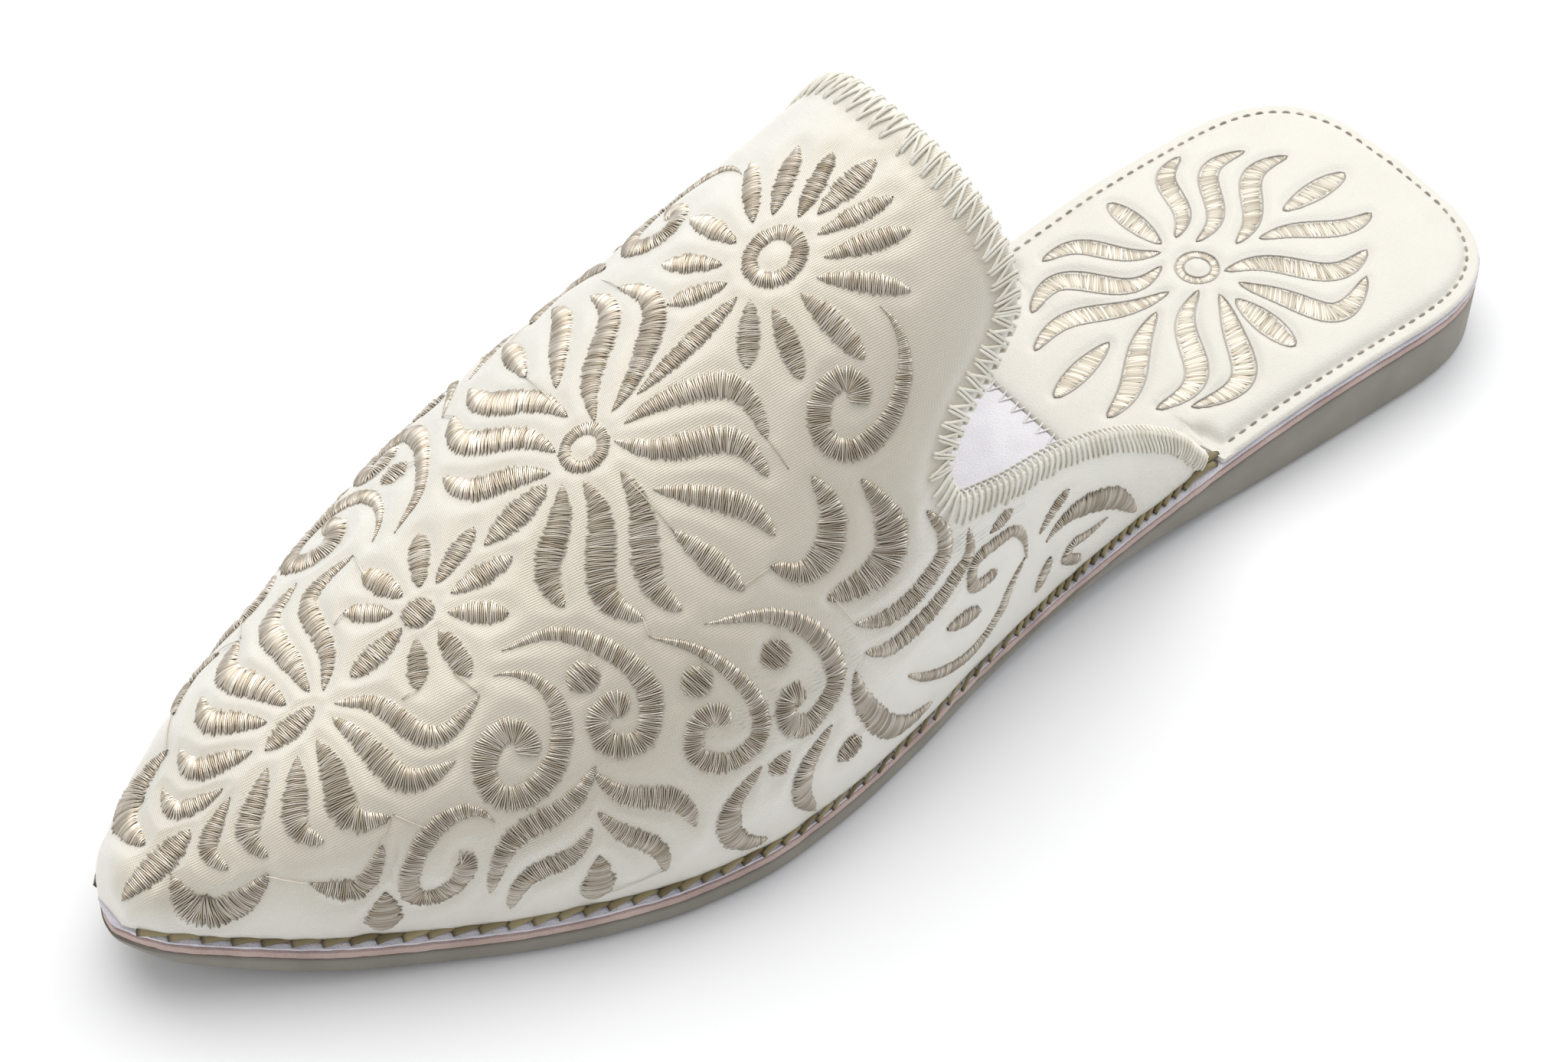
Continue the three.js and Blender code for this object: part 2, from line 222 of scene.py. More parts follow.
def make(name, points, faces, materials, uv=None, face_material=None, values=None, smooth_angle=None):
    """A mesh object from arrays; equal points are merged and the faces that collapse are dropped."""
    points = np.asarray(points, float).reshape(-1, 3)
    mesh = bpy.data.meshes.new(name)
    mesh.from_pydata(points.tolist(), [], [list(map(int, face)) for face in faces])
    for label, column in (values or {}).items():
        layer = mesh.attributes.new(label, "FLOAT", "POINT")
        layer.data.foreach_set("value", np.asarray(column, np.float32).ravel())
    if uv is not None:
        corner = np.empty(len(mesh.loops), np.int32)
        mesh.loops.foreach_get("vertex_index", corner)
        layer = mesh.uv_layers.new(name="pattern")
        layer.data.foreach_set("uv", np.asarray(uv, np.float32).reshape(-1, 2)[corner].ravel())
    for material in materials:
        mesh.materials.append(material)
    if face_material is not None:
        mesh.polygons.foreach_set("material_index", np.asarray(face_material, np.int32))
    work = bmesh_of(mesh)
    if len(faces) > 1:
        bmesh.ops.recalc_face_normals(work, faces=work.faces)
    work.to_mesh(mesh)
    work.free()
    mesh.shade_smooth()
    if smooth_angle:
        mesh.set_sharp_from_angle(angle=math.radians(smooth_angle))
    piece = bpy.data.objects.new(name, mesh)
    bpy.context.scene.collection.objects.link(piece)
    return piece


def bmesh_of(mesh):
    work = bmesh.new()
    work.from_mesh(mesh)
    bmesh.ops.remove_doubles(work, verts=work.verts, dist=1e-6)
    bmesh.ops.dissolve_degenerate(work, edges=work.edges, dist=1e-7)
    return work


# ---------- shader node groups
def node_group(name, inputs, outputs):
    """An empty shader group with named sockets; a default makes a float socket, None a vector."""
    group = bpy.data.node_groups.new(name, "ShaderNodeTree")
    for label, default in inputs.items():
        kind = "NodeSocketVector" if default is None else "NodeSocketFloat"
        socket = group.interface.new_socket(label, in_out="INPUT", socket_type=kind)
        if default is not None:
            socket.default_value = default
    for label, kind in outputs.items():
        group.interface.new_socket(label, in_out="OUTPUT", socket_type="NodeSocket" + kind)
    return group, group.nodes.new("NodeGroupInput"), group.nodes.new("NodeGroupOutput")


class Nodes:
    """Short ways to add nodes to a tree and to join them."""

    def __init__(self, tree):
        self.tree = tree

    def add(self, kind, _out=0, _props=None, **inputs):
        node = self.tree.nodes.new(kind)
        for label, value in (_props or {}).items():
            setattr(node, label, value)
        for label, value in inputs.items():
            key = int(label[1:]) if label[0] == "_" else label.replace("_", " ")
            self.feed(node.inputs[key], value)
        return node.outputs[_out]

    def feed(self, socket, value):
        if isinstance(value, bpy.types.NodeSocket):
            self.tree.links.new(value, socket)
        else:
            socket.default_value = value

    def math(self, operation, a, b=0.0, c=0.0):
        return self.add("ShaderNodeMath", _props={"operation": operation}, _0=a, _1=b, _2=c)

    def mix(self, factor, a, b):
        node = self.tree.nodes.new("ShaderNodeMix")
        node.data_type = "RGBA"
        self.feed(node.inputs[0], factor)
        self.feed(node.inputs[6], a)
        self.feed(node.inputs[7], b)
        return node.outputs[2]

    def span(self, value, low, high, to_low=0.0, to_high=1.0):
        return self.add(
            "ShaderNodeMapRange", _0=value, _1=low, _2=high, _3=to_low, _4=to_high
        )

    def group(self, tree, _out, **inputs):
        node = self.tree.nodes.new("ShaderNodeGroup")
        node.node_tree = tree
        for label, value in inputs.items():
            self.feed(node.inputs[label.replace("_", " ")], value)
        return node.outputs[_out]


def grain_group():
    """Blotches and fine grain on Object coordinates: a mask from 0 to 1 and a fine height."""
    group, given, result = node_group(
        "grain", {"Blotch": 60.0, "Fine": 1500.0}, {"Mask": "Float", "Height": "Float"}
    )
    n = Nodes(group)
    where = n.add("ShaderNodeTexCoord", _out="Object")
    blotch = n.add("ShaderNodeTexNoise", Vector=where, Scale=given.outputs["Blotch"], Detail=1.0)
    fine = n.add("ShaderNodeTexNoise", Vector=where, Scale=given.outputs["Fine"], Detail=1.0, Roughness=0.65)
    group.links.new(n.span(blotch, 0.3, 0.7), result.inputs["Mask"])
    group.links.new(fine, result.inputs["Height"])
    return group


def twill_group():
    """Fine diagonal ribs on the piece's own pattern map, which is in millimetres."""
    group, given, result = node_group(
        "twill", {"Pitch": 0.42, "Turn": 1.05, "Weft": 0.28}, {"Height": "Float"}
    )
    n = Nodes(group)
    where = n.add("ShaderNodeUVMap", _props={"uv_map": "pattern"})
    turned = n.add(
        "ShaderNodeVectorRotate", _props={"rotation_type": "Z_AXIS"},
        Vector=where, Angle=given.outputs["Turn"],
    )
    along = n.add("ShaderNodeSeparateXYZ", _out=0, Vector=turned)
    across = along.node.outputs[1]
    tau = 2 * math.pi
    rib = n.math("SINE", n.math("DIVIDE", n.math("MULTIPLY", along, tau), given.outputs["Pitch"]))
    weft = n.math("SINE", n.math("DIVIDE", n.math("MULTIPLY", across, tau), given.outputs["Weft"]))
    mixed = n.math("ADD", n.math("MULTIPLY", rib, 0.7), n.math("MULTIPLY", weft, 0.3))
    group.links.new(n.math("MULTIPLY_ADD", mixed, 0.5, 0.5), result.inputs["Height"])
    return group


GRAIN = grain_group()
TWILL = twill_group()


def material(name, build, **shader):
    """A Principled material; build(n, bsdf) adds what varies over the surface."""
    made = bpy.data.materials.new(name)
    made.use_nodes = True
    tree = made.node_tree
    bsdf = tree.nodes["Principled BSDF"]
    for label, value in shader.items():
        bsdf.inputs[label.replace("_", " ")].default_value = value
    build(Nodes(tree), bsdf)
    return made


def bump(n, bsdf, height, strength, distance):
    normal = n.add("ShaderNodeBump", Height=height, Strength=strength, Distance=distance)
    n.feed(bsdf.inputs["Normal"], normal)


def rgb(red, green, blue):
    return (red, green, blue, 1)


def satin_look(n, bsdf):
    mask = n.group(GRAIN, "Mask", Blotch=45.0, Fine=2500.0)
    facing = n.add("ShaderNodeLayerWeight", _out="Facing", Blend=0.5)
    # painted sheen: the satin is tan where it faces the camera (painted shade) and cream at grazing (painted
    # sheen); the blotch mask is the cloth's own uneven tone
    painted_face_on_shade = n.mix(mask, rgb(0.645, 0.59, 0.48), rgb(0.685, 0.63, 0.52))
    painted_grazing_sheen = n.mix(mask, rgb(0.795, 0.77, 0.695), rgb(0.835, 0.815, 0.745))
    n.feed(bsdf.inputs["Base Color"], n.mix(n.span(facing, 0.05, 0.42), painted_face_on_shade, painted_grazing_sheen))
    weave = n.group(TWILL, "Height", Pitch=0.36, Turn=1.25, Weft=0.26)
    n.feed(bsdf.inputs["Roughness"], n.span(weave, 0.0, 1.0, 0.4, 0.52))
    bump(n, bsdf, weave, 0.6, 0.00008)


def cloth_look(dark, light, strength):
    def build(n, bsdf):
        mask = n.group(GRAIN, "Mask", Blotch=140.0, Fine=3500.0)
        n.feed(bsdf.inputs["Base Color"], n.mix(mask, rgb(*dark), rgb(*light)))
        bump(n, bsdf, n.group(GRAIN, "Height", Blotch=140.0, Fine=3500.0), strength, 0.0003)

    return build


def thread_look(painted_shade_colour, dull, bright, painted_face_on_shade_amount=0.0, gloss=(0.45, 0.6), under=0.0):
    """Yarn with a tone for each stitch, and painted shade where it dives in, where it is seen face on and
    where it turns under.
    """

    def build(n, bsdf):
        tone = n.add("ShaderNodeAttribute", _out="Fac", _props={"attribute_name": "tone"})
        crest = n.add("ShaderNodeAttribute", _out="Fac", _props={"attribute_name": "crest"})
        own = n.mix(tone, rgb(*dull), rgb(*bright))
        facing = n.add("ShaderNodeLayerWeight", _out="Facing", Blend=0.5)
        # painted shade: seen face on, a stitch dulls towards its dull tone by the face-on amount
        shaded = n.mix(n.span(facing, 0.03, 0.4, painted_face_on_shade_amount, 0.0), own, rgb(*dull))
        # painted shade: where the thread's normal turns down it darkens towards the shade colour, as much as
        # under says
        up = n.add("ShaderNodeSeparateXYZ", _out="Z", Vector=n.add("ShaderNodeNewGeometry", _out="Normal"))
        lit = n.mix(n.span(up, 0.0, 0.5, 1 - under, 1.0), rgb(*painted_shade_colour), shaded)
        # painted shade in the valleys and at the ends, where the crest mask falls to 0
        n.feed(bsdf.inputs["Base Color"], n.mix(n.span(crest, 0.0, 0.5), rgb(*painted_shade_colour), lit))
        fibre = n.group(GRAIN, "Height", Blotch=300.0, Fine=6000.0)
        n.feed(bsdf.inputs["Roughness"], n.span(fibre, 0.3, 0.7, *gloss))

    return build


SATIN = material("ivory_satin", satin_look, Metallic=0.24, Specular_IOR_Level=0.65)
LINING = material("lining_cloth", cloth_look((0.74, 0.72, 0.73), (0.84, 0.82, 0.82), 0.5), Roughness=0.9)
TEXTILE = material("brushed_textile", cloth_look((0.72, 0.70, 0.73), (0.82, 0.80, 0.82), 0.6), Roughness=0.92)
LEATHER = material("ivory_leather", cloth_look((0.72, 0.69, 0.615), (0.74, 0.71, 0.635), 0.35), Roughness=0.5)
WHITE_BOARD = material("white_board", cloth_look((0.62, 0.60, 0.66), (0.82, 0.80, 0.84), 0.9), Roughness=0.9)
PINK_BOARD = material(
    "pink_leatherboard", cloth_look((0.50, 0.36, 0.32), (0.64, 0.49, 0.44), 0.8), Roughness=0.85
)
RUBBER = material("taupe_rubber", cloth_look((0.25, 0.235, 0.195), (0.29, 0.27, 0.225), 0.25), Roughness=0.6)
# In each thread material the first colour is painted shade for valleys, ends and undersides; the champagne
# thread also takes painted face-on shade of 0.3 and painted underside shade of 0.4
METALLIC_THREAD = material(
    "champagne_thread",
    thread_look((0.11, 0.08, 0.045), (0.5, 0.42, 0.31), (1.0, 0.93, 0.82), 0.3, (0.28, 0.42), 0.4),
    Metallic=0.6,
)
STRAW_THREAD = material(
    "straw_thread", thread_look((0.50, 0.45, 0.34), (0.74, 0.70, 0.59), (0.88, 0.85, 0.76))
)
FLAT_THREAD = material(
    "sparkling_thread",
    thread_look((0.24, 0.20, 0.15), (0.40, 0.35, 0.27), (0.74, 0.69, 0.59), 0.0, (0.3, 0.45)),
    Metallic=0.4,
)
GREY_THREAD = material(
    "grey_thread", thread_look((0.26, 0.24, 0.21), (0.38, 0.36, 0.32), (0.54, 0.51, 0.46))
)
DARK_THREAD = material(
    "dark_thread", thread_look((0.14, 0.12, 0.09), (0.26, 0.23, 0.18), (0.42, 0.38, 0.31))
)
PALE_THREAD = material(
    "pale_thread", thread_look((0.40, 0.38, 0.36), (0.74, 0.71, 0.68), (0.88, 0.86, 0.83))
)
OLIVE_THREAD = material(
    "olive_thread", thread_look((0.035, 0.025, 0.01), (0.15, 0.115, 0.045), (0.33, 0.27, 0.14))
)


# ---------- stitches by Geometry Nodes
def arched_thread(name):
    """One thread, 2 wide across the stitch and 1 along it: an arch with a crest and two valleys."""
    across = np.linspace(-1, 1, 7)
    arch = 1.25 * np.sqrt(np.maximum(1.02 - across**2, 0)) - 0.35
    rows = [(-0.5, -0.45, 0.0), (0.0, 0.0, 1.0), (0.5, -0.45, 0.0)]
    points = [(x, y, h + dip) for y, dip, _ in rows for x, h in zip(across, arch)]
    # crest is 1 on the arch's top and falls in the valleys and towards the thread's ends, where the material
    # paints shade
    crest = [c * (1 - 0.75 * abs(x) ** 4) for _, _, c in rows for x in across]
    mesh = bpy.data.meshes.new(name)
    mesh.from_pydata(points, [], grid_faces(3, 7)[:, ::-1].tolist())
    mesh.attributes.new("crest", "FLOAT", "POINT").data.foreach_set("value", crest)
    return bpy.data.objects.new(name, mesh)


def stitch_tree():
    """Lays a template along polylines: across the line, standing on the surface, as wide as the line says."""
    tree = bpy.data.node_groups.new("stitches_along_line", "GeometryNodeTree")
    sockets = {
        "Geometry": ("NodeSocketGeometry", None),
        "Template": ("NodeSocketObject", None),
        "Thread": ("NodeSocketMaterial", None),
        "Pitch": ("NodeSocketFloat", 0.0004),
        "Thread Width": ("NodeSocketFloat", 0.00045),
        "Thread Height": ("NodeSocketFloat", 0.0004),
        "Fullness": ("NodeSocketFloat", 0.05),
        "Slant": ("NodeSocketFloat", 0.0),
        "Looseness": ("NodeSocketFloat", 0.08),
        "Seed": ("NodeSocketInt", 1),
    }
    for label, (kind, default) in sockets.items():
        socket = tree.interface.new_socket(label, in_out="INPUT", socket_type=kind)
        if default is not None:
            socket.default_value = default
    tree.interface.new_socket("Geometry", in_out="OUTPUT", socket_type="NodeSocketGeometry")
    given = tree.nodes.new("NodeGroupInput").outputs
    n = Nodes(tree)

    def chance(low, high, add):
        seed = n.math("ADD", given["Seed"], float(add))
        return n.add("FunctionNodeRandomValue", _out=1, _2=low, _3=high, _8=seed)

    curve = n.add("GeometryNodeMeshToCurve", Mesh=given["Geometry"])
    even = n.add("GeometryNodeResampleCurve", _props={"mode": "LENGTH"}, Curve=curve, Length=given["Pitch"])
    up = n.add("GeometryNodeInputNamedAttribute", _props={"data_type": "FLOAT_VECTOR"}, Name="up")
    width = n.add("GeometryNodeInputNamedAttribute", _props={"data_type": "FLOAT"}, Name="width")
    facing = n.add(
        "FunctionNodeAxesToRotation", _props={"primary_axis": "Z", "secondary_axis": "Y"},
        Primary_Axis=up, Secondary_Axis=n.add("GeometryNodeInputTangent"),
    )
    loose = given["Looseness"]
    lean = n.math("ADD", given["Slant"], n.math("MULTIPLY", loose, chance(-1.0, 1.0, 1)))
    turned = n.add(
        "FunctionNodeRotateRotation", _props={"rotation_space": "LOCAL"}, Rotation=facing,
        Rotate_By=n.add("FunctionNodeAxisAngleToRotation", Axis=(0, 0, 1), Angle=lean),
    )
    reach = n.math("ADD", n.math("MULTIPLY", loose, chance(-1.6, 1.6, 2)), 1.0)
    lift = n.math("ADD", n.math("MULTIPLY", loose, chance(-1.5, 1.5, 3)), 1.0)
    half = n.math("MULTIPLY", n.math("MULTIPLY", width, 0.5), reach)
    tall = n.math("ADD", n.math("MULTIPLY", width, given["Fullness"]), given["Thread Height"])
    size = n.add("ShaderNodeCombineXYZ", X=half, Y=given["Thread Width"], Z=n.math("MULTIPLY", tall, lift))
    template = n.add("GeometryNodeObjectInfo", _out="Geometry", Object=given["Template"])
    laid = n.add("GeometryNodeInstanceOnPoints", Points=even, Instance=template, Rotation=turned, Scale=size)
    toned = n.add(
        "GeometryNodeStoreNamedAttribute", _props={"data_type": "FLOAT", "domain": "INSTANCE"},
        Geometry=laid, Name="tone", Value=chance(0.0, 1.0, 4),
    )
    solid = n.add("GeometryNodeRealizeInstances", Geometry=toned)
    rounded = n.add("GeometryNodeSetShadeSmooth", Geometry=solid)
    painted = n.add("GeometryNodeSetMaterial", Geometry=rounded, Material=given["Thread"])
    tree.links.new(painted, tree.nodes.new("NodeGroupOutput").inputs[0])
    return tree


STITCHES = stitch_tree()
SATIN_THREAD = arched_thread("satin_thread")


def baked(name, tree, lines, **inputs):
    """Lays a node tree's threads along lines of (points, ups, widths in metres) as one plain mesh piece."""
    points, ups, widths, links, values = [], [], [], [], {}
    for line, up, width, *own_values in lines:
        first = len(points)
        points += list(line)
        ups += list(up)
        widths += list(width)
        links += [(first + i, first + i + 1) for i in range(len(line) - 1)]
        for label, column in (own_values[0] if own_values else {}).items():
            values.setdefault(label, []).extend(column)
    mesh = bpy.data.meshes.new(name + "_lines")
    mesh.from_pydata([tuple(p) for p in points], links, [])
    layer = mesh.attributes.new("up", "FLOAT_VECTOR", "POINT")
    layer.data.foreach_set("vector", np.array(ups, np.float32).ravel())
    for label, column in {"width": widths, **values}.items():
        mesh.attributes.new(label, "FLOAT", "POINT").data.foreach_set("value", np.array(column, np.float32))
    source = bpy.data.objects.new(name + "_lines", mesh)
    bpy.context.scene.collection.objects.link(source)
    modifier = source.modifiers.new("threads", "NODES")
    modifier.node_group = tree
    named = {item.name: item.identifier for item in tree.interface.items_tree if item.in_out == "INPUT"}
    for label, value in inputs.items():
        modifier[named[label.replace("_", " ")]] = value
    depsgraph = bpy.context.evaluated_depsgraph_get()
    made = bpy.data.meshes.new_from_object(
        source.evaluated_get(depsgraph), preserve_all_data_layers=True, depsgraph=depsgraph
    )
    bpy.data.objects.remove(source)
    made.name = name
    piece = bpy.data.objects.new(name, made)
    bpy.context.scene.collection.objects.link(piece)
    return piece


def stitched(name, lines, template, thread, **sizes):
    return baked(name, STITCHES, lines, Template=template, Thread=thread, **sizes)


# ---------- the upper
UPPER_COLUMNS = 120
OUTER_ROWS = 280
RIM_ROWS = 6
INNER_ROWS = 60


def upper_grid(shrink, u):
    """Points and pattern coordinates over one face of the upper, toe to collar for u from 0 to 1."""
    j = np.arange(-UPPER_COLUMNS, UPPER_COLUMNS + 1)
    share = np.broadcast_to(1 - np.abs(j) / UPPER_COLUMNS, (len(u), len(j)))
    start = NOSE + shrink
    t = start + (collar(share) - start) * u[:, None] ** 1.6
    points = np.empty(t.shape + (3,))
    arc = np.empty(t.shape)
    for side, columns in ((-1, j < 0), (1, j >= 0)):
        flat_t, flat_share = t[:, columns].ravel(), share[:, columns].ravel()
        points[:, columns] = along_section(flat_t, side, flat_share, shrink).reshape(len(u), -1, 3)
        arc[:, columns] = side * ((1 - flat_share) * section_length(flat_t, side)).reshape(len(u), -1)
    return points, np.stack([t, arc], -1)


PUFF = 0.24  # how far the satin stands between stitched lines
PUFF_REACH = 1.5


def puffed(points, pattern, pins):
    """Lifts the satin between its stitches; pins are (t, arc, half width) along every stitched line."""
    tree = kdtree.KDTree(len(pins))
    for i, (t, arc, _) in enumerate(pins):
        tree.insert((t, arc, 0), i)
    tree.balance()
    flat = pattern.reshape(-1, 2)
    near = np.array([min(d - pins[i][2] for _, i, d in tree.find_n((t, arc, 0), 4)) for t, arc in flat])
    rise = 1 - np.exp(-((np.maximum(near, 0) / PUFF_REACH) ** 2))
    rough = np.array([noise.noise(Vector((t * 0.16, arc * 0.16, 3.0))) for t, arc in flat])
    lift = (PUFF * rise * (1 + 0.7 * rough) - 0.12 * np.exp(-np.abs(near))).reshape(points.shape[:2])
    rows = np.arange(len(points))[:, None]
    lift = lift * np.clip(rows / 12, 0, 1) * np.clip((len(points) - 1 - rows) / 2, 0, 1)
    down = np.gradient(points, axis=0)
    across = np.gradient(points, axis=1)
    up = np.cross(across, down)
    up /= np.maximum(np.linalg.norm(up, axis=2, keepdims=True), 1e-15)
    return points + up * lift[..., None] * MM


def upper_piece(pins):
    """Satin outside, cloth inside, a rounded rim at the collar and a closed edge at the feather line."""
    outer, outer_map = upper_grid(0.0, np.linspace(0, 1, OUTER_ROWS))
    outer = puffed(outer, outer_map, pins)
    inner, inner_map = upper_grid(WALL, np.linspace(0, 1, INNER_ROWS))
    turn = np.linspace(0, math.pi, RIM_ROWS + 2)[1:-1, None, None]
    middle, half = (outer[-1] + inner[-1]) / 2, (outer[-1] - inner[-1]) / 2
    back = outer[-1] - outer[-2]
    back /= np.maximum(np.linalg.norm(back, axis=1, keepdims=True), 1e-9)
    rim = middle + np.cos(turn) * half + np.sin(turn) * back * WALL / 2 * MM * 0.8
    rim_map = np.broadcast_to(outer_map[-1], (RIM_ROWS,) + outer_map[-1].shape)
    points = np.concatenate([outer, rim, inner[::-1]])
    pattern = np.concatenate([outer_map, rim_map, inner_map[::-1]])
    rows, columns = points.shape[:2]
    faces = grid_faces(rows, columns)
    lining = np.repeat(np.arange(rows - 1) >= OUTER_ROWS + RIM_ROWS // 2, columns - 1)
    # the feather edge, row by row on each side
    edge_faces = []
    outer_rows = np.arange(OUTER_ROWS)
    partner = rows - 1 - np.round(outer_rows * (INNER_ROWS - 1) / (OUTER_ROWS - 1)).astype(int)
    for column, flip in ((0, False), (columns - 1, True)):
        for i in range(OUTER_ROWS - 1):
            ring = [i, i + 1, partner[i + 1], partner[i]]
            ring = [r * columns + column for r in dict.fromkeys(ring)]
            edge_faces.append(ring if flip else ring[::-1])
    all_faces = faces.tolist() + edge_faces
    slots = lining.astype(int).tolist() + [0] * len(edge_faces)
    piece = make("upper_satin", points, all_faces, [SATIN, LINING], uv=pattern, face_material=slots)
    return piece


# ---------- the sole
def inset_edge(t, side, inset):
    """The sole edge moved inward square to itself: distance from the toe tip and half width."""
    step = 0.05
    before, after = np.maximum(t - step, 0), np.minimum(t + step, LENGTH)
    run, rise = after - before, edge(after, side) - edge(before, side)
    long = np.hypot(run, rise)
    moved_t = t + rise / long * inset
    moved_y = edge(t, side) - run / long * inset
    tip, heel = t <= 0, t >= LENGTH
    moved_t = np.where(tip, inset, np.where(heel, LENGTH - inset, moved_t))
    return moved_t, side * np.where(tip | heel, 0, moved_y)


def eased(start, end, count, power):
    """Stations that draw closer together towards both ends."""
    u = np.linspace(0, 1, count)
    v = np.where(u < 0.5, (2 * u) ** power / 2, 1 - (2 - 2 * u) ** power / 2)
    return start + (end - start) * v


def layer(name, side_rows, materials, across=14, stations=170, uneven=0.0):
    """A layer of the sole. side_rows goes up its edge as (inset, height function)."""
    t = eased(0, LENGTH, stations, 2.2)
    sides = {
        side: [inset_edge(t, side, inset) + (height,) for inset, height in side_rows] for side in (1, -1)
    }
    ring = []
    for moved_t, y, height in sides[-1]:
        ring.append(place(moved_t, y, height(moved_t)))
    for k in range(1, across):
        (ti, yi, top), (to, yo, _) = sides[-1][-1], sides[1][-1]
        mid = ti + (to - ti) * k / across
        ring.append(place(mid, yi + (yo - yi) * k / across, top(mid)))
    for moved_t, y, height in sides[1][::-1]:
        ring.append(place(moved_t, y, height(moved_t)))
    for k in range(1, across):
        (to, yo, low), (ti, yi, _) = sides[1][0], sides[-1][0]
        mid = to + (ti - to) * k / across
        ring.append(place(mid, yo + (yi - yo) * k / across, low(mid)))
    points = np.stack(ring + ring[:1], 1)
    if uneven:
        flat = points.reshape(-1, 3)
        rough = np.array([noise.noise(Vector(p) * 420) + 0.6 * noise.noise(Vector(p) * 1300) for p in flat])
        out = flat * [1, 1, 0]
        out /= np.maximum(np.linalg.norm(out, axis=1, keepdims=True), 1e-9)
        body = np.zeros(points.shape[:2], bool)
        body[:, : len(side_rows)] = True
        body[:, len(side_rows) + across - 1 : 2 * len(side_rows) + across - 1] = True
        flat += out * (rough * body.ravel())[:, None] * uneven * MM
        points = flat.reshape(points.shape)
        points[:, -1] = points[:, 0]
    rows, columns = points.shape[:2]
    faces = grid_faces(rows, columns)[:, ::-1]
    return make(name, points, faces, materials, smooth_angle=50)


PRESSED_WELT = 0.5  # how much of its thickness the welt loses at its edge, where the board swells


def sole_pieces():
    welt_low = lambda t: bed(t) - WELT + PRESSED_WELT
    mid_high = lambda t: bed(t) - WELT - GAP + PRESSED_WELT
    mid_low = lambda t: bed(t) - WELT - GAP - MIDSOLE
    out_high = lambda t: bed(t) - WELT - 2 * GAP - MIDSOLE
    shift = lambda height, by: lambda t: height(t) + by
    rubber = [
        (1.6, under),
        (0.7, shift(under, 0.25)),
        (0.15, shift(under, 0.9)),
        (0, shift(under, 1.6)),
        (0, lambda t: (under(t) + 1.6 + out_high(t)) / 2),
        (0.05, shift(out_high, -0.35)),
        (0.4, out_high),
    ]
    board = [
        (0.7, mid_low), (0.2, shift(mid_low, 0.2)), (0.12, shift(mid_low, 0.5)),
        (0.2, shift(mid_high, -0.2)), (0.7, mid_high),
    ]
    welt = [
        (0.8, welt_low), (0.15, shift(welt_low, 0.3)), (0, shift(welt_low, 0.9)),
        (0.15, shift(bed, -0.4)), (0.5, shift(bed, -0.1)), (1.0, bed),
    ]
    pieces = {
        "outsole": (layer("outsole_rubber", rubber, [RUBBER]), "rubber"),
        "midsole": (layer("midsole_board", board, [PINK_BOARD], stations=300, uneven=0.16), "leatherboard"),
        "welt": (layer("welt_board", welt, [WHITE_BOARD], stations=300, uneven=0.2), "white_board"),
    }
    return pieces


# ---------- the insole
STITCH_INSET = 2.4


FLOWER_DEPTH = 0.55  # how far the flower is pressed into the leather
FLOWER_REACH = 0.9


def pressed(t, y, pins):
    """How far the stitched flower pulls the padding down around it."""
    tree = kdtree.KDTree(len(pins))
    for i, (at, across, _) in enumerate(pins):
        tree.insert((at, across, 0), i)
    tree.balance()
    near = [
        min(d - pins[i][2] for _, i, d in tree.find_n((a, b, 0), 4)) for a, b in zip(t.ravel(), y.ravel())
    ]
    return FLOWER_DEPTH * np.exp(-((np.maximum(np.array(near).reshape(t.shape), 0) / FLOWER_REACH) ** 2))


def pad_height(t, u, rim):
    """Top of the leather pad: a flat flange outside its stitch line, crowned padding inside it."""
    low = bed(t) + GAP
    puffed = 1 - np.abs(2 * u - 1) ** 4
    puffed = puffed * opening(LENGTH - t, (22, 2)) * opening(t - SEAM, (16, 2))
    inside = 1 / (1 + np.exp(-(rim - STITCH_INSET - 0.6) / 0.5))
    seam = np.exp(-(((rim - STITCH_INSET) / 0.5) ** 2))
    return low + 0.75 + inside * (PAD_EDGE - 0.75 + PAD_CROWN * puffed) - 0.25 * seam


def heel_pad(pins):
    """The padded leather insole, with its flange out to the sole edge behind the wings."""
    flare = smooth(dict(t=(SEAM, WING_END + 0.4, WING_END + 1.4), inset=(INSIDE, INSIDE, 0.25)), "t", "inset")
    t = np.concatenate([np.linspace(SEAM, WING_END, 30)[:-1], np.linspace(WING_END, WING_END + 5, 12)[:-1],
                        eased(WING_END + 5, LENGTH * 2 - WING_END - 5, 261, 1.6)[:131]])
    inner_t, inner_y = inset_edge(t, -1, flare(t))
    outer_t, outer_y = inset_edge(t, 1, flare(t))
    u = eased(0, 1, 121, 1.4)[None]
    at = inner_t[:, None] + (outer_t - inner_t)[:, None] * u
    y = inner_y[:, None] + (outer_y - inner_y)[:, None] * u
    outline = np.concatenate([np.stack([inner_t, inner_y], 1), np.stack([outer_t, outer_y], 1)[::-1]])
    rim = np.full(at.shape, 9.0)
    for a, b in zip(outline[:-1], outline[1:]):
        along = b - a
        d = np.stack([at - a[0], y - a[1]], -1)
        s = np.clip((d @ along) / max(along @ along, 1e-9), 0, 1)
        rim = np.minimum(rim, np.hypot(d[..., 0] - s * along[0], d[..., 1] - s * along[1]))
    begun = np.clip((at - WING_END) / 4, 0, 1)
    rim = np.maximum(rim, (STITCH_INSET + 1.5) * (1 - begun * begun * (3 - 2 * begun)))
    edge_round = 0.45 * (1 - np.clip(rim / 0.6, 0, 1)) ** 2
    top = place(at, y, pad_height(at, u, rim) - edge_round - pressed(at, y, pins))
    bottom = place(at, y, bed(at) + GAP * 0.5)
    points = np.concatenate([top, bottom[:, ::-1], top[:, :1]], 1)
    rows, columns = points.shape[:2]
    faces = grid_faces(rows, columns)[:, ::-1].tolist()
    width = u.shape[1]
    front = [[j, j + 1, 2 * width - 2 - j, 2 * width - 1 - j] for j in range(width - 1)]
    return make("heel_pad_leather", points, faces + front, [LEATHER], smooth_angle=60)


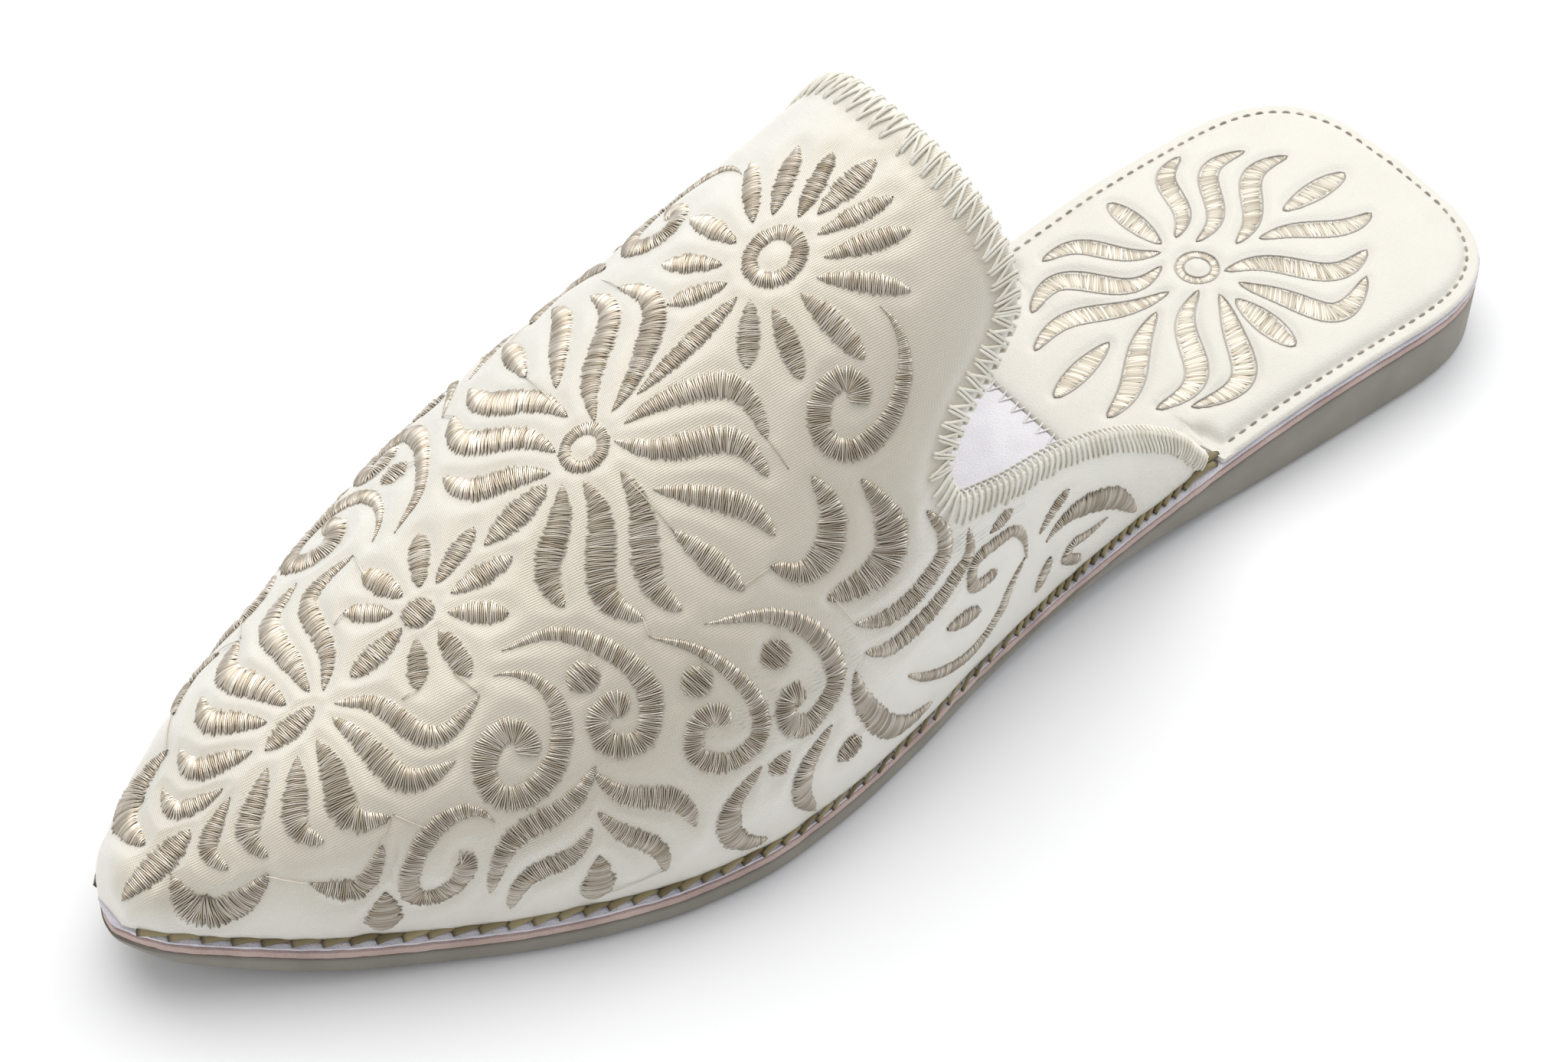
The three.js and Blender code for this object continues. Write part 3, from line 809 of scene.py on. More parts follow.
def sock():
    """The brushed textile sock from the toe to the seam."""
    t = eased(0, 2 * (SEAM - GAP), 141, 2)[:71]
    inner_t, inner_y = inset_edge(t, -1, INSIDE)
    outer_t, outer_y = inset_edge(t, 1, INSIDE)
    u = np.linspace(0, 1, 21)[None]
    at = inner_t[:, None] + (outer_t - inner_t)[:, None] * u
    y = inner_y[:, None] + (outer_y - inner_y)[:, None] * u
    top, bottom = place(at, y, bed(at) + GAP + SOCK), place(at, y, bed(at) + GAP)
    points = np.concatenate([top, bottom[:, ::-1], top[:, :1]], 1)
    faces = grid_faces(*points.shape[:2])[:, ::-1].tolist()
    last = (len(t) - 1) * points.shape[1]
    width = u.shape[1]
    back = [
        [last + j + 1, last + j, last + 2 * width - 1 - j, last + 2 * width - 2 - j] for j in range(width - 1)
    ]
    return make("forepart_sock", points, faces + back, [TEXTILE], smooth_angle=50)


# ---------- motifs: centrelines in (t, arc) with their widths
MOTIF_STEPS = 48


def pointed(v, peak):
    """Width along a petal, pointed at both ends and fullest at its peak."""
    return np.sin(math.pi * v ** (math.log(0.5) / math.log(peak))) ** 0.5


def blunt(v, rise, end):
    """Width along a drop or a scroll: a pointed start and a round end."""
    rising = np.sin(math.pi / 2 * np.clip(v / rise, 0, 1)) ** 0.8
    return rising * np.sqrt(1 - np.clip((v - 1 + end) / end, 0, 1) ** 2)


def bowed(start, end, bow, swing):
    a, b = np.array(start, float), np.array(end, float)
    v = np.linspace(0, 1, MOTIF_STEPS)
    along = (b - a) / np.linalg.norm(b - a)
    aside = np.array([-along[1], along[0]])
    offset = bow * (1 - np.abs(2 * v - 1) ** 2.3) + swing * np.sin(2 * math.pi * v)
    return v, a + (b - a) * v[:, None] + aside * offset[:, None]


def petal(start, end, width, bow=0.0, swing=0.0, peak=0.55):
    v, line = bowed(start, end, bow, swing)
    return line, width * pointed(v, peak)


def drop(start, end, width, bow=0.0):
    v, line = bowed(start, end, bow, 0.0)
    return line, width * blunt(v, 0.75, 0.35)


def scroll(centre, outer, inner, power, angle, sweep, width):
    """A spiral from its outer radius in to its eye; the angle and the sweep are in degrees."""
    v = np.linspace(0, 1, 3 * MOTIF_STEPS)
    radius = inner + (outer - inner) * (1 - v) ** power
    turn = np.radians(angle + sweep * v)
    line = np.array(centre, float) + radius[:, None] * np.stack([np.cos(turn), np.sin(turn)], 1)
    return line, width * blunt(v, 0.3, 0.03)


def tendril(points, width, rise=0.4, end=0.06, peak=None):
    """A smooth curve through a few points."""
    p = np.array(points, float)
    p = np.concatenate([[2 * p[0] - p[1]], p, [2 * p[-1] - p[-2]]])
    u = np.linspace(0, 1, 12, endpoint=False)[:, None]
    spans = []
    for a, b, c, d in zip(p[:-3], p[1:-2], p[2:-1], p[3:]):
        spans.append(b + 0.5 * u * (c - a + u * (2 * a - 5 * b + 4 * c - d + u * (3 * (b - c) + d - a))))
    line = np.concatenate(spans + [p[-2:-1]])
    v = np.linspace(0, 1, len(line))
    return line, width * (pointed(v, peak) if peak else blunt(v, rise, end))


def dot(centre, size):
    v, line = bowed((centre[0] - size / 2, centre[1]), (centre[0] + size / 2, centre[1]), 0, 0)
    return line, size * np.sqrt(np.maximum(1 - (2 * v - 1) ** 2, 0.01))


def ring(centre, radius, width):
    turn = np.linspace(0, 2 * math.pi, MOTIF_STEPS)
    line = np.array(centre) + radius * np.stack([np.cos(turn), np.sin(turn)], 1)
    return line, np.full(MOTIF_STEPS, float(width))


RIDGE_MOTIFS = [
    petal((2, 1), (14, 0), 4),
    petal((28, -0.5), (36.5, -0.5), 3.6),
    petal((67.5, -0.5), (78.5, -0.5), 4),
    petal((95.5, -0.5), (113.5, 0), 2.8),
    dot((55, 0), 4.5),
    ring((85.5, -0.5), 2.9, 1.8),
    ring((121, -0.5), 3.7, 2.3),
    # daisy
    petal((57.5, -3), (62.5, -10), 3.2),
    petal((59.5, -1.5), (68, -4), 3),
    petal((60, 1.5), (69, 4), 3.2),
    petal((58, 3.5), (64, 10), 3.1),
    petal((55.5, 4.5), (55, 13), 3.2),
    petal((52.5, 3), (48.5, 9), 2.9),
    petal((52, 0), (43, 0), 3.5),
    petal((52.5, -3), (48, -9), 2.8),
    petal((55, -4), (53.5, -12), 3.3),
    # sunflower
    petal((122.5, -7.5), (129.5, -17), 2.9),
    petal((125, -6), (134.5, -12), 3),
    petal((127, -2.5), (136.5, -6.5), 2.9),
    petal((129, -0.5), (139.5, -0.5), 3.6),
    petal((127, 2), (137.5, 6), 2.8),
    petal((125.5, 5.5), (136.5, 11.5), 3),
    petal((123, 7), (132, 18), 3),
    petal((120, 7), (122, 20.5), 3.3),
    petal((116, 5.5), (113.5, 16), 3.1),
    petal((114.5, 2), (108.5, 9), 3.1),
    petal((114, -3), (107, -8), 2.9),
    petal((115.5, -6), (111, -14.5), 3),
    petal((119, -7), (118.5, -17.5), 3),
]

TOE_MOTIFS = [
    petal((8.5, 3.5), (19, 13.5), 4.4, bow=4.6, peak=0.5),
    petal((39, 1.5), (54.5, 16), 2.9, bow=3.6, swing=-2.4),
    petal((37.5, 3), (47, 20.5), 3.4, bow=3.8, swing=-1.3),
    petal((34, 4), (36, 20), 3.8, bow=3.2, swing=-1.3),
    petal((30.5, 4), (27, 16), 3.4, bow=2.6, swing=-0.8),
    petal((26.5, 2), (20, 11.5), 3.2, bow=2.5, swing=-0.8),
    petal((20.5, 1), (15, 8.5), 2.6, bow=2.8, swing=-0.6),
    scroll((54, 25.5), 10.8, 2.7, 2.0, -70, 474, 3.2),
    scroll((40.5, 32.5), 7.6, 1.6, 0.7, -9, -351, 2.7),
    petal((23.5, 19.5), (33.5, 22.5), 3.3, bow=4, swing=-0.9),
    drop((32, 29.5), (31, 37), 4.6),
]

FLANK_MOTIFS = [
    petal((63.5, 35.5), (45, 42), 3.4, bow=2.7, swing=-2.2),
    petal((60, 43), (47.5, 48), 3.3, bow=1.7, swing=-1.8),
    drop((60, 48), (59, 56.5), 4.8),
    petal((63, 36), (74, 55.5), 3.3, bow=-0.5, swing=1.2),
    petal((61.5, 41.5), (69, 60), 3, bow=-0.8, swing=0.7),
    drop((90.5, 57.5), (87, 58.5), 3.6),
    dot((67.5, 24.5), 4.3),
    dot((81, 37), 4.3),
    dot((93, 43), 4.5),
    dot((101.5, 68.5), 4.6),
    tendril([
        (60.5, 13.5), (67.5, 17), (73, 25.5), (74.5, 33), (71, 37.5),
        (66.5, 34.5), (66.5, 30.5), (69.5, 30.5), (71, 32.5),
    ], 3.3),
    tendril([
        (78, 27), (83.5, 34.5), (87.5, 45), (86.5, 51), (81, 50.5),
        (77, 45.5), (78.5, 42), (81.5, 42.5), (83, 45.5),
    ], 2.9),
    tendril([
        (85.5, 31.5), (94.5, 38), (100, 46), (101, 54.5),
        (95, 56.5), (91.5, 53), (92.5, 50), (95.5, 51.5),
    ], 3.4),
    tendril([(85.5, 55.5), (80.5, 57), (79, 59.5), (79.5, 63.5), (82.5, 68.5), (85.5, 71)], 3.6, peak=0.5),
    tendril([(98.5, 60.5), (93.5, 62.5), (92, 64.5), (92, 68.5), (95, 75.5)], 3.6, peak=0.5),
]

INSTEP_MOTIFS = [
    petal((80, 1.5), (70.5, 15), 3.9, bow=1.7, swing=-1),
    petal((82.5, 3.5), (78.5, 24.5), 4, bow=2.4, swing=-1.8),
    petal((87, 6.5), (83.5, 27.5), 4, bow=1.4, swing=-1.3),
    petal((88, 18.5), (92.5, 32), 3.2),
    petal((89, 12), (100, 29.5), 3.4, bow=-1.4, swing=0.4),
    petal((89, 2.5), (103, 22.5), 3.7, bow=-1.6, swing=1.6),
    petal((91.5, 1.5), (105.5, 18.5), 3.7, bow=-5.5, swing=0.9),
    scroll((117, 23), 12.2, 2.4, 2.3, -31, 443, 3.1),
    tendril([
        (108.5, 27.5), (109, 32.5), (108, 35.5),
        (105.5, 37.5), (101.5, 37), (97.5, 32.5),
    ], 4.2, peak=0.5),
    tendril([(114.5, 33.5), (116, 39.5), (116, 44), (114, 46.5), (110, 46), (103.5, 43)], 5, peak=0.55),
    tendril([
        (122.5, 46), (124.5, 51.5), (124, 55), (121, 56),
        (116.5, 56), (111.5, 54), (106.5, 50),
    ], 3.3, peak=0.5),
    tendril([
        (129.5, 56), (129, 60.5), (125.5, 61.5), (121, 62),
        (115.5, 61), (111, 59), (107, 55.5),
    ], 3.3, peak=0.5),
]

WING_MOTIFS = [
    tendril([(104.5, 56.5), (104.5, 61), (107, 68), (111, 75.5), (115.5, 80.5), (121, 83.5)], 4, peak=0.5),
    tendril([
        (114.5, 68.5), (119.5, 75), (127, 82), (133, 84.5),
        (137.5, 82.5), (139.5, 79), (142.5, 76.5),
    ], 2.5, peak=0.5),
    tendril([
        (143, 77), (142, 71.5), (139.5, 67), (135.5, 65), (131.5, 63.5),
        (129.5, 64.5), (130, 68), (132.5, 70), (135.5, 71),
    ], 2.4),
    petal((134, 61.5), (139, 62), 2.6),
    petal((146, 75), (152.5, 70.5), 2.9),
    petal((123.5, 69.5), (132, 75.5), 3.2),
    petal((147, 90), (149.5, 84), 2.8),
    tendril([(163.5, 79), (158.5, 82.5), (155, 84), (154, 87), (158, 88.5)], 2.2, rise=0.5),
    petal((148, 79), (171, 75), 4.4, bow=-2.2),
]


# ---------- threads laid as cords
def cord_tree():
    """Lays a round thread along polylines, as thick as the line's own width."""
    tree = bpy.data.node_groups.new("thread_along_line", "GeometryNodeTree")
    tree.interface.new_socket("Geometry", in_out="INPUT", socket_type="NodeSocketGeometry")
    tree.interface.new_socket("Thread", in_out="INPUT", socket_type="NodeSocketMaterial")
    tree.interface.new_socket("Sides", in_out="INPUT", socket_type="NodeSocketInt").default_value = 6
    tree.interface.new_socket("Thickness", in_out="INPUT", socket_type="NodeSocketFloat").default_value = 1.0
    tree.interface.new_socket("Geometry", in_out="OUTPUT", socket_type="NodeSocketGeometry")
    given = tree.nodes.new("NodeGroupInput").outputs
    n = Nodes(tree)
    width = n.add("GeometryNodeInputNamedAttribute", _props={"data_type": "FLOAT"}, Name="width")
    curve = n.add("GeometryNodeMeshToCurve", Mesh=given["Geometry"])
    half = n.math("MULTIPLY", n.math("MULTIPLY", width, given["Thickness"]), 0.5)
    circle = n.add("GeometryNodeCurvePrimitiveCircle", Resolution=given["Sides"], Radius=1.0)
    laid = n.add("GeometryNodeCurveToMesh", Curve=curve, Profile_Curve=circle, Scale=half, Fill_Caps=True)
    rounded = n.add("GeometryNodeSetShadeSmooth", Geometry=laid)
    solid = n.add("GeometryNodeRealizeInstances", Geometry=rounded)
    painted = n.add("GeometryNodeSetMaterial", Geometry=solid, Material=given["Thread"])
    tree.links.new(painted, tree.nodes.new("NodeGroupOutput").inputs[0])
    return tree


CORDS = cord_tree()


def corded(name, lines, thread, seed=1, **sizes):
    """Bakes round threads along lines of (points in metres, widths in millimetres)."""
    chance = np.random.default_rng(seed)
    made = []
    for line, width in lines:
        v = np.linspace(-1, 1, len(line))
        # crest falls to 0 at a thread's two ends, where the material paints shade as it dives in
        values = {"tone": np.full(len(line), chance.random()), "crest": 1 - np.abs(v) ** 3}
        made.append((line, np.zeros((len(line), 3)), np.broadcast_to(width, len(line)) * MM, values))
    return baked(name, CORDS, made, Thread=thread, **sizes)


# ---------- embroidery on the vamp
def fuller(motifs, by):
    return [(line, width * by) for line, width in motifs]


SIDE_STROKES = fuller(TOE_MOTIFS, 1.12) + fuller(FLANK_MOTIFS, 1.05) + fuller(INSTEP_MOTIFS, 1.08)
SIDE_STROKES += WING_MOTIFS
RIDGE_STROKES = fuller(RIDGE_MOTIFS, 1.1)
OVERLAP = 1.16  # a stitch dives into the satin a little outside its motif's edge


def on_side(motifs, side):
    lines = []
    for line, width in motifs:
        points, ups = on_vamp(line[:, 0], line[:, 1] * side, -0.05)
        lines.append((points, ups, width * OVERLAP * MM))
    return lines


def satin_pins():
    """Where stitches hold the satin down, as (t, arc, half width)."""
    pins = []
    for side, motifs in ((1, RIDGE_STROKES), (1, SIDE_STROKES), (-1, SIDE_STROKES)):
        for line, width in motifs:
            pins += [(t, arc * side, w / 2) for (t, arc), w in zip(line[::2], width[::2])]
    for side in (1, -1):
        for hole in collar_holes(side):
            pins.append((hole[0], hole[1], 0.1))
    return pins


def embroidery():
    """The three embroidered pieces by name: down the ridge, and on either side of it."""
    sizes = dict(
        Pitch=0.0003, Thread_Width=0.00031, Thread_Height=0.0003, Fullness=0.11, Slant=0.1, Looseness=0.09
    )
    parts = (
        ("embroidery_ridge", RIDGE_STROKES, 1, 3),
        ("embroidery_outer", SIDE_STROKES, 1, 5),
        ("embroidery_inner", SIDE_STROKES, -1, 8),
    )
    made = {}
    for name, strokes, side, seed in parts:
        lines = on_side(strokes, side)
        made[name] = stitched(name, lines, SATIN_THREAD, METALLIC_THREAD, Seed=seed, **sizes)
    return made


JUMPS = [  # thin threads the needle left between motifs, as (t, arc) to (t, arc)
    ((18.5, 13), (23.5, 19.5)), ((33, 22.5), (36, 20)), ((36.5, 20), (40, 25.5)), ((68, 24), (71, 21.5)),
    ((81, 36.5), (84, 34.5)), ((93, 42.5), (96, 39.5)), ((53.5, 11), (54.5, 15.5)), ((78.5, 24), (78, 27)),
    ((92.5, 31.5), (97.5, 32.5)), ((88, 18.5), (87, 8)), ((105.5, 18), (106, 24)), ((104, 42.5), (106.5, 50)),
    ((107, 55.5), (104.5, 56.5)), ((59, 56), (69, 59.5)), ((101.5, 66.5), (107, 68)), ((48.5, 9), (46, 8.5)),
]


def jump_threads():
    lines = []
    for start, end in JUMPS:
        for side in (1, -1):
            v = np.linspace(0, 1, 9)
            flat = np.array(start) + (np.array(end) - start) * v[:, None]
            points, _ = on_vamp(flat[:, 0], flat[:, 1] * side, 0.2 + 0.25 * np.sin(math.pi * v))
            lines.append((points, 0.18))
    return lines


# ---------- stitches along the collar
HOLE_DEPTH = dict(share=(0, 0.42, 0.5, 0.6, 1), mm=(3.4, 3.6, 3.8, 4, 4))
COLLAR_PITCH = dict(share=(0, 0.4, 0.47, 0.55, 0.62, 1), mm=(1.3, 1.3, 1.3, 2, 2.6, 2.6))


def collar_frame(side, share):
    """Along the collar: t and arc, the way in from the edge in (t, arc), and the rim's own axes."""
    step = 0.002
    share = np.clip(share, step, 1 - step)
    t = collar(share)
    arc = side * (1 - share) * section_length(t, side)
    before, after = np.clip(share - step, 0, 1), np.clip(share + step, 0, 1)
    run = collar(after) - collar(before)
    arc_after = (1 - after) * section_length(collar(after), side)
    arc_before = (1 - before) * section_length(collar(before), side)
    rise = side * (arc_after - arc_before)
    way_in = np.stack([rise, -run], 1) * side
    way_in /= np.linalg.norm(way_in, axis=1, keepdims=True)
    outer, inner = along_section(t, side, share), along_section(t, side, share, WALL)
    tangent = along_section(collar(after), side, after) - along_section(collar(before), side, before)
    half = (outer - inner) / 2
    back = np.cross(tangent, half) * side
    back /= np.linalg.norm(back, axis=1, keepdims=True)
    return t, arc, way_in, (outer + inner) / 2, half, back


def collar_stations(side):
    share = np.linspace(0.035, 1, 900)
    walked = np.linalg.norm(np.diff(along_section(collar(share), side, share), axis=0), axis=1) / MM
    pitch = np.interp(share, COLLAR_PITCH["share"], COLLAR_PITCH["mm"])
    count = np.concatenate([[0], np.cumsum(walked / pitch[1:])])
    return np.interp(np.arange(0, count[-1], 1.0), count, share)


def collar_thread(side, hole_share, rim_share, aside, chance):
    """One thread: out of its hole, over the satin, round the rim and down the lining."""
    depth = np.interp(hole_share, HOLE_DEPTH["share"], HOLE_DEPTH["mm"]) * (1 + 0.06 * chance.normal())
    ht, harc, way_in, *_ = collar_frame(side, np.array([hole_share]))
    rt, rarc, rim_in, middle, half, back = collar_frame(side, np.array([rim_share]))
    hole = np.array([ht[0], harc[0]]) + way_in[0] * depth + np.array([-way_in[0][1], way_in[0][0]]) * aside
    rim = np.array([rt[0], rarc[0]]) + rim_in[0] * 0.25
    v = np.array([0.0, 0.12, 0.4, 0.75, 1.0])
    lift = np.array([-0.35, 0.22, 0.42, 0.4, 0.32])
    flat = hole + (rim - hole) * v[:, None]
    over, _ = on_vamp(flat[:, 0], flat[:, 1], lift)
    turn = np.array([0.22, 0.5, 0.78, 1.0])[:, None] * math.pi
    grow = 1 + 0.28 / (WALL / 2)
    round_rim = middle + np.cos(turn) * half * grow + np.sin(turn) * back * (WALL / 2 * 0.8 + 0.28) * MM
    last = round_rim[-1:] - back * 1.6 * MM + half * 0.35
    return np.concatenate([over, round_rim, last])


def collar_holes(side):
    stations = collar_stations(side)
    middle = (stations[1:] + stations[:-1]) / 2
    t, arc, way_in, *_ = collar_frame(side, middle)
    depth = np.interp(middle, HOLE_DEPTH["share"], HOLE_DEPTH["mm"])
    return np.stack([t, arc], 1) + way_in * depth[:, None]


def collar_stitches(side):
    chance = np.random.default_rng(17 + side)
    stations = collar_stations(side)
    lines = []
    for k in range(len(stations) - 1):
        here, after = stations[k], stations[k + 1]
        hole = here + (after - here) * 0.5
        thick = 0.5 if here > 0.5 else 0.46
        if here > 0.5:
            lines.append((collar_thread(side, hole, here + (after - here) * 0.38, -0.25, chance), thick))
            lines.append((collar_thread(side, hole, here + (after - here) * 0.62, 0.25, chance), thick))
            lines.append((collar_thread(side, hole, here + (after - here) * 1.3, 0.0, chance), thick))
        else:
            lines.append((collar_thread(side, hole, here + (after - here) * 0.95, 0.0, chance), thick))
    return lines


# ---------- stitches where the satin meets the welt
GROOVE_START = 2.5
WING_STITCH_START = 140


def groove_line(side, t, out, up):
    y, z = half_section(t, side, 0.0)
    return place(t, y[:, 0] + side * out, z[:, 0] + up)


def groove_stitches(side):
    chance = np.random.default_rng(29 + side)
    lines, t = [], GROOVE_START
    while t < WING_END - 6:
        long = 3.4 if t < WING_STITCH_START else 2.1
        thick = np.interp(t, [0, 75, 100, 135, 155], [1.45, 1.2, 0.6, 0.6, 0.85])
        at = t + np.linspace(-0.12, 1.12, 5) * long
        out = 0.8 + np.array([0.45, 0.3, 0, -0.25, -0.35]) + 0.06 * chance.normal()
        up = np.array([-0.2, 0.15, 0.35, 0.4, 0.15]) + 0.05 * chance.normal()
        lines.append((groove_line(side, at, out, up), thick))
        t += long * (1 + 0.05 * chance.normal())
    return lines


def wing_tacks(side):
    """The two long stitches that hold a wing's end down."""
    lines = []
    for start, out, up in ((182.5, 0.9, 0.2), (183.5, 0.1, 0.95)):
        at = start + np.linspace(0, 7, 7)
        rise = np.array([-0.4, 0.35, 0.5, 0.55, 0.5, 0.35, -0.4])
        lines.append((groove_line(side, np.minimum(at, WING_END + 1.5), out, up + rise), 1.25))
    return lines


# ---------- stitches on the insole
HEEL_DASH = (1.4, 2.4)  # length of a stitch and from one to the next
ZIGZAG = (3.0, 4.2)  # from one stitch to the next, and the seam's width


def on_top(surface, t, y, lift):
    """Points of a piece's top at t and y, with the way up there."""
    starts = place(t, y, 60.0)
    hits = [surface.ray_cast(Vector(p), Vector((0, 0, -1))) for p in starts]
    ups = np.array([hit[1] for hit in hits])
    return np.array([hit[0] for hit in hits]) + ups * np.asarray(lift, float).reshape(-1, 1) * MM, ups


def heel_dashes(surface):
    outline = []
    for side in (-1, 1):
        t = eased(WING_END + 1.8, 2 * LENGTH - WING_END - 1.8, 401, 2.0)[:201]
        flat = np.stack(inset_edge(t, side, STITCH_INSET), 1)
        outline.append(flat if side < 0 else flat[::-1])
    outline = np.concatenate(outline)
    walked = np.concatenate([[0], np.cumsum(np.linalg.norm(np.diff(outline, axis=0), axis=1))])
    lines = []
    for start in np.arange(1.5, walked[-1] - 2, HEEL_DASH[1]):
        at = start + np.linspace(0, HEEL_DASH[0], 6)
        t, y = np.interp(at, walked, outline[:, 0]), np.interp(at, walked, outline[:, 1])
        points, _ = on_top(surface, t, y, [-0.25, 0.1, 0.2, 0.2, 0.1, -0.25])
        lines.append((points, 0.42))
    return lines


def zigzag():
    _, low = inset_edge(np.array([float(SEAM)]), -1, INSIDE + 0.5)
    _, high = inset_edge(np.array([float(SEAM)]), 1, INSIDE + 0.5)
    y = np.arange(low[0], high[0], ZIGZAG[0] / 2)
    t = SEAM + np.where(np.arange(len(y)) % 2, 0.5, -0.5) * ZIGZAG[1]
    lines = []
    for i in range(len(y) - 1):
        v = np.array([0, 0.1, 0.5, 0.9, 1.0])
        at = t[i] + (t[i + 1] - t[i]) * v
        across = y[i] + (y[i + 1] - y[i]) * v
        top = np.where(at > SEAM, bed(at) + GAP + PAD_EDGE, bed(at) + GAP + SOCK)
        lines.append((place(at, across, top + [-0.15, 0.1, 0.2, 0.1, -0.15]), 0.34))
    return lines


HEEL_FLOWER = [  # in (t, y) on the pad
    petal((213, -8.5), (213, -21.5), 4),
    petal((216, -8), (230.5, -22.5), 3.6, bow=-0.8, swing=1.6),
    petal((218, -5), (240, -16.5), 3.5, bow=-1.7, swing=2.4),
    petal((223, -0.5), (245, -11), 3.8, bow=-2, swing=1.9),
    petal((235, -1.5), (250, -2), 4.1),
    petal((227, 1), (246.5, 8), 4, bow=0.9, swing=-0.9),
    petal((217, 3), (239.5, 14), 4.4, bow=2, swing=-2.1),
    petal((217, 6.5), (235, 18.5), 4.4, bow=6.5, swing=-2.1),
    petal((214, 9), (214.5, 22.5), 4.6),
    petal((212.5, 6.5), (193, 21), 4.1, bow=-6, swing=1.7),
    petal((210.5, 3.5), (188.5, 17.5), 4, bow=-2.5, swing=2.4),
    petal((202, 2.5), (181.5, 13.5), 4, bow=-0.7, swing=0.8),
    petal((192, 2), (178, 4.5), 3.8),
    petal((206.5, 0.5), (182, -5), 3.6, bow=1.9, swing=-1.4),
    petal((209.5, -4.5), (187, -11.5), 4.1, bow=1.5, swing=-3),
    petal((211.5, -7), (196, -19), 3.5, bow=1.4, swing=-1.3),
    ring((214, -0.5), 3.0, 1.5),
]


def flower_pins():
    return [(t, y, w / 2) for line, width in HEEL_FLOWER for (t, y), w in zip(line[::2], width[::2])]


def heel_flower(surface):
    fills, outlines = [], []
    for line, width in HEEL_FLOWER:
        points, ups = on_top(surface, line[:, 0], line[:, 1], 0.02)
        fills.append((points, ups, width * MM))
        along = np.gradient(line, axis=0)
        aside = np.stack([-along[:, 1], along[:, 0]], 1) / np.linalg.norm(along, axis=1, keepdims=True)
        for edge_side in (-0.5, 0.5):
            rim = line + aside * width[:, None] * edge_side
            outlines.append((on_top(surface, rim[:, 0], rim[:, 1], 0.08)[0], 0.28))
    fill = stitched("heel_flower_fill", fills, SATIN_THREAD, FLAT_THREAD, Pitch=0.0004, Thread_Width=0.00054,
                    Thread_Height=0.00016, Fullness=0.012, Slant=0.3, Looseness=0.12, Seed=12)
    return fill, corded("heel_flower_outline", outlines, GREY_THREAD, seed=4, Sides=5)


# ---------- camera, light and floor
CAMERA_AT = Vector((262.3, 293.4, 453.0)) * MM
CAMERA_AIM = Vector((16.8, 9.7, 30)) * MM
CAMERA_ROLL = 2.66  # degrees
FRAMING = 1.28  # how much tighter the view is than a 66.8 mm lens gives
LENS = 66.8 * FRAMING


def camera():
    data = bpy.data.cameras.new("camera")
    data.lens = LENS
    data.clip_start, data.clip_end = 0.01, 50
    ahead = (CAMERA_AIM - CAMERA_AT).normalized()
    level = ahead.cross(Vector((0, 0, 1))).normalized()
    lifted = level.cross(ahead)
    roll = math.radians(CAMERA_ROLL)
    right = level * math.cos(roll) + lifted * math.sin(roll)
    up = right.cross(ahead)
    turned = Matrix((right, up, -ahead)).transposed().to_4x4()
    made = bpy.data.objects.new("camera", data)
    made.matrix_world = Matrix.Translation(CAMERA_AT) @ turned
    bpy.context.scene.collection.objects.link(made)
    bpy.context.scene.camera = made
    return right, up, ahead


def softbox(name, at, aim, width, height, power, colour):
    data = bpy.data.lights.new(name, "AREA")
    data.shape = "RECTANGLE"
    data.size, data.size_y = width, height
    data.energy = power
    data.color = colour
    lamp = bpy.data.objects.new(name, data)
    lamp.matrix_world = Matrix.Translation(at) @ (aim - at).to_track_quat("-Z", "Y").to_matrix().to_4x4()
    bpy.context.scene.collection.objects.link(lamp)


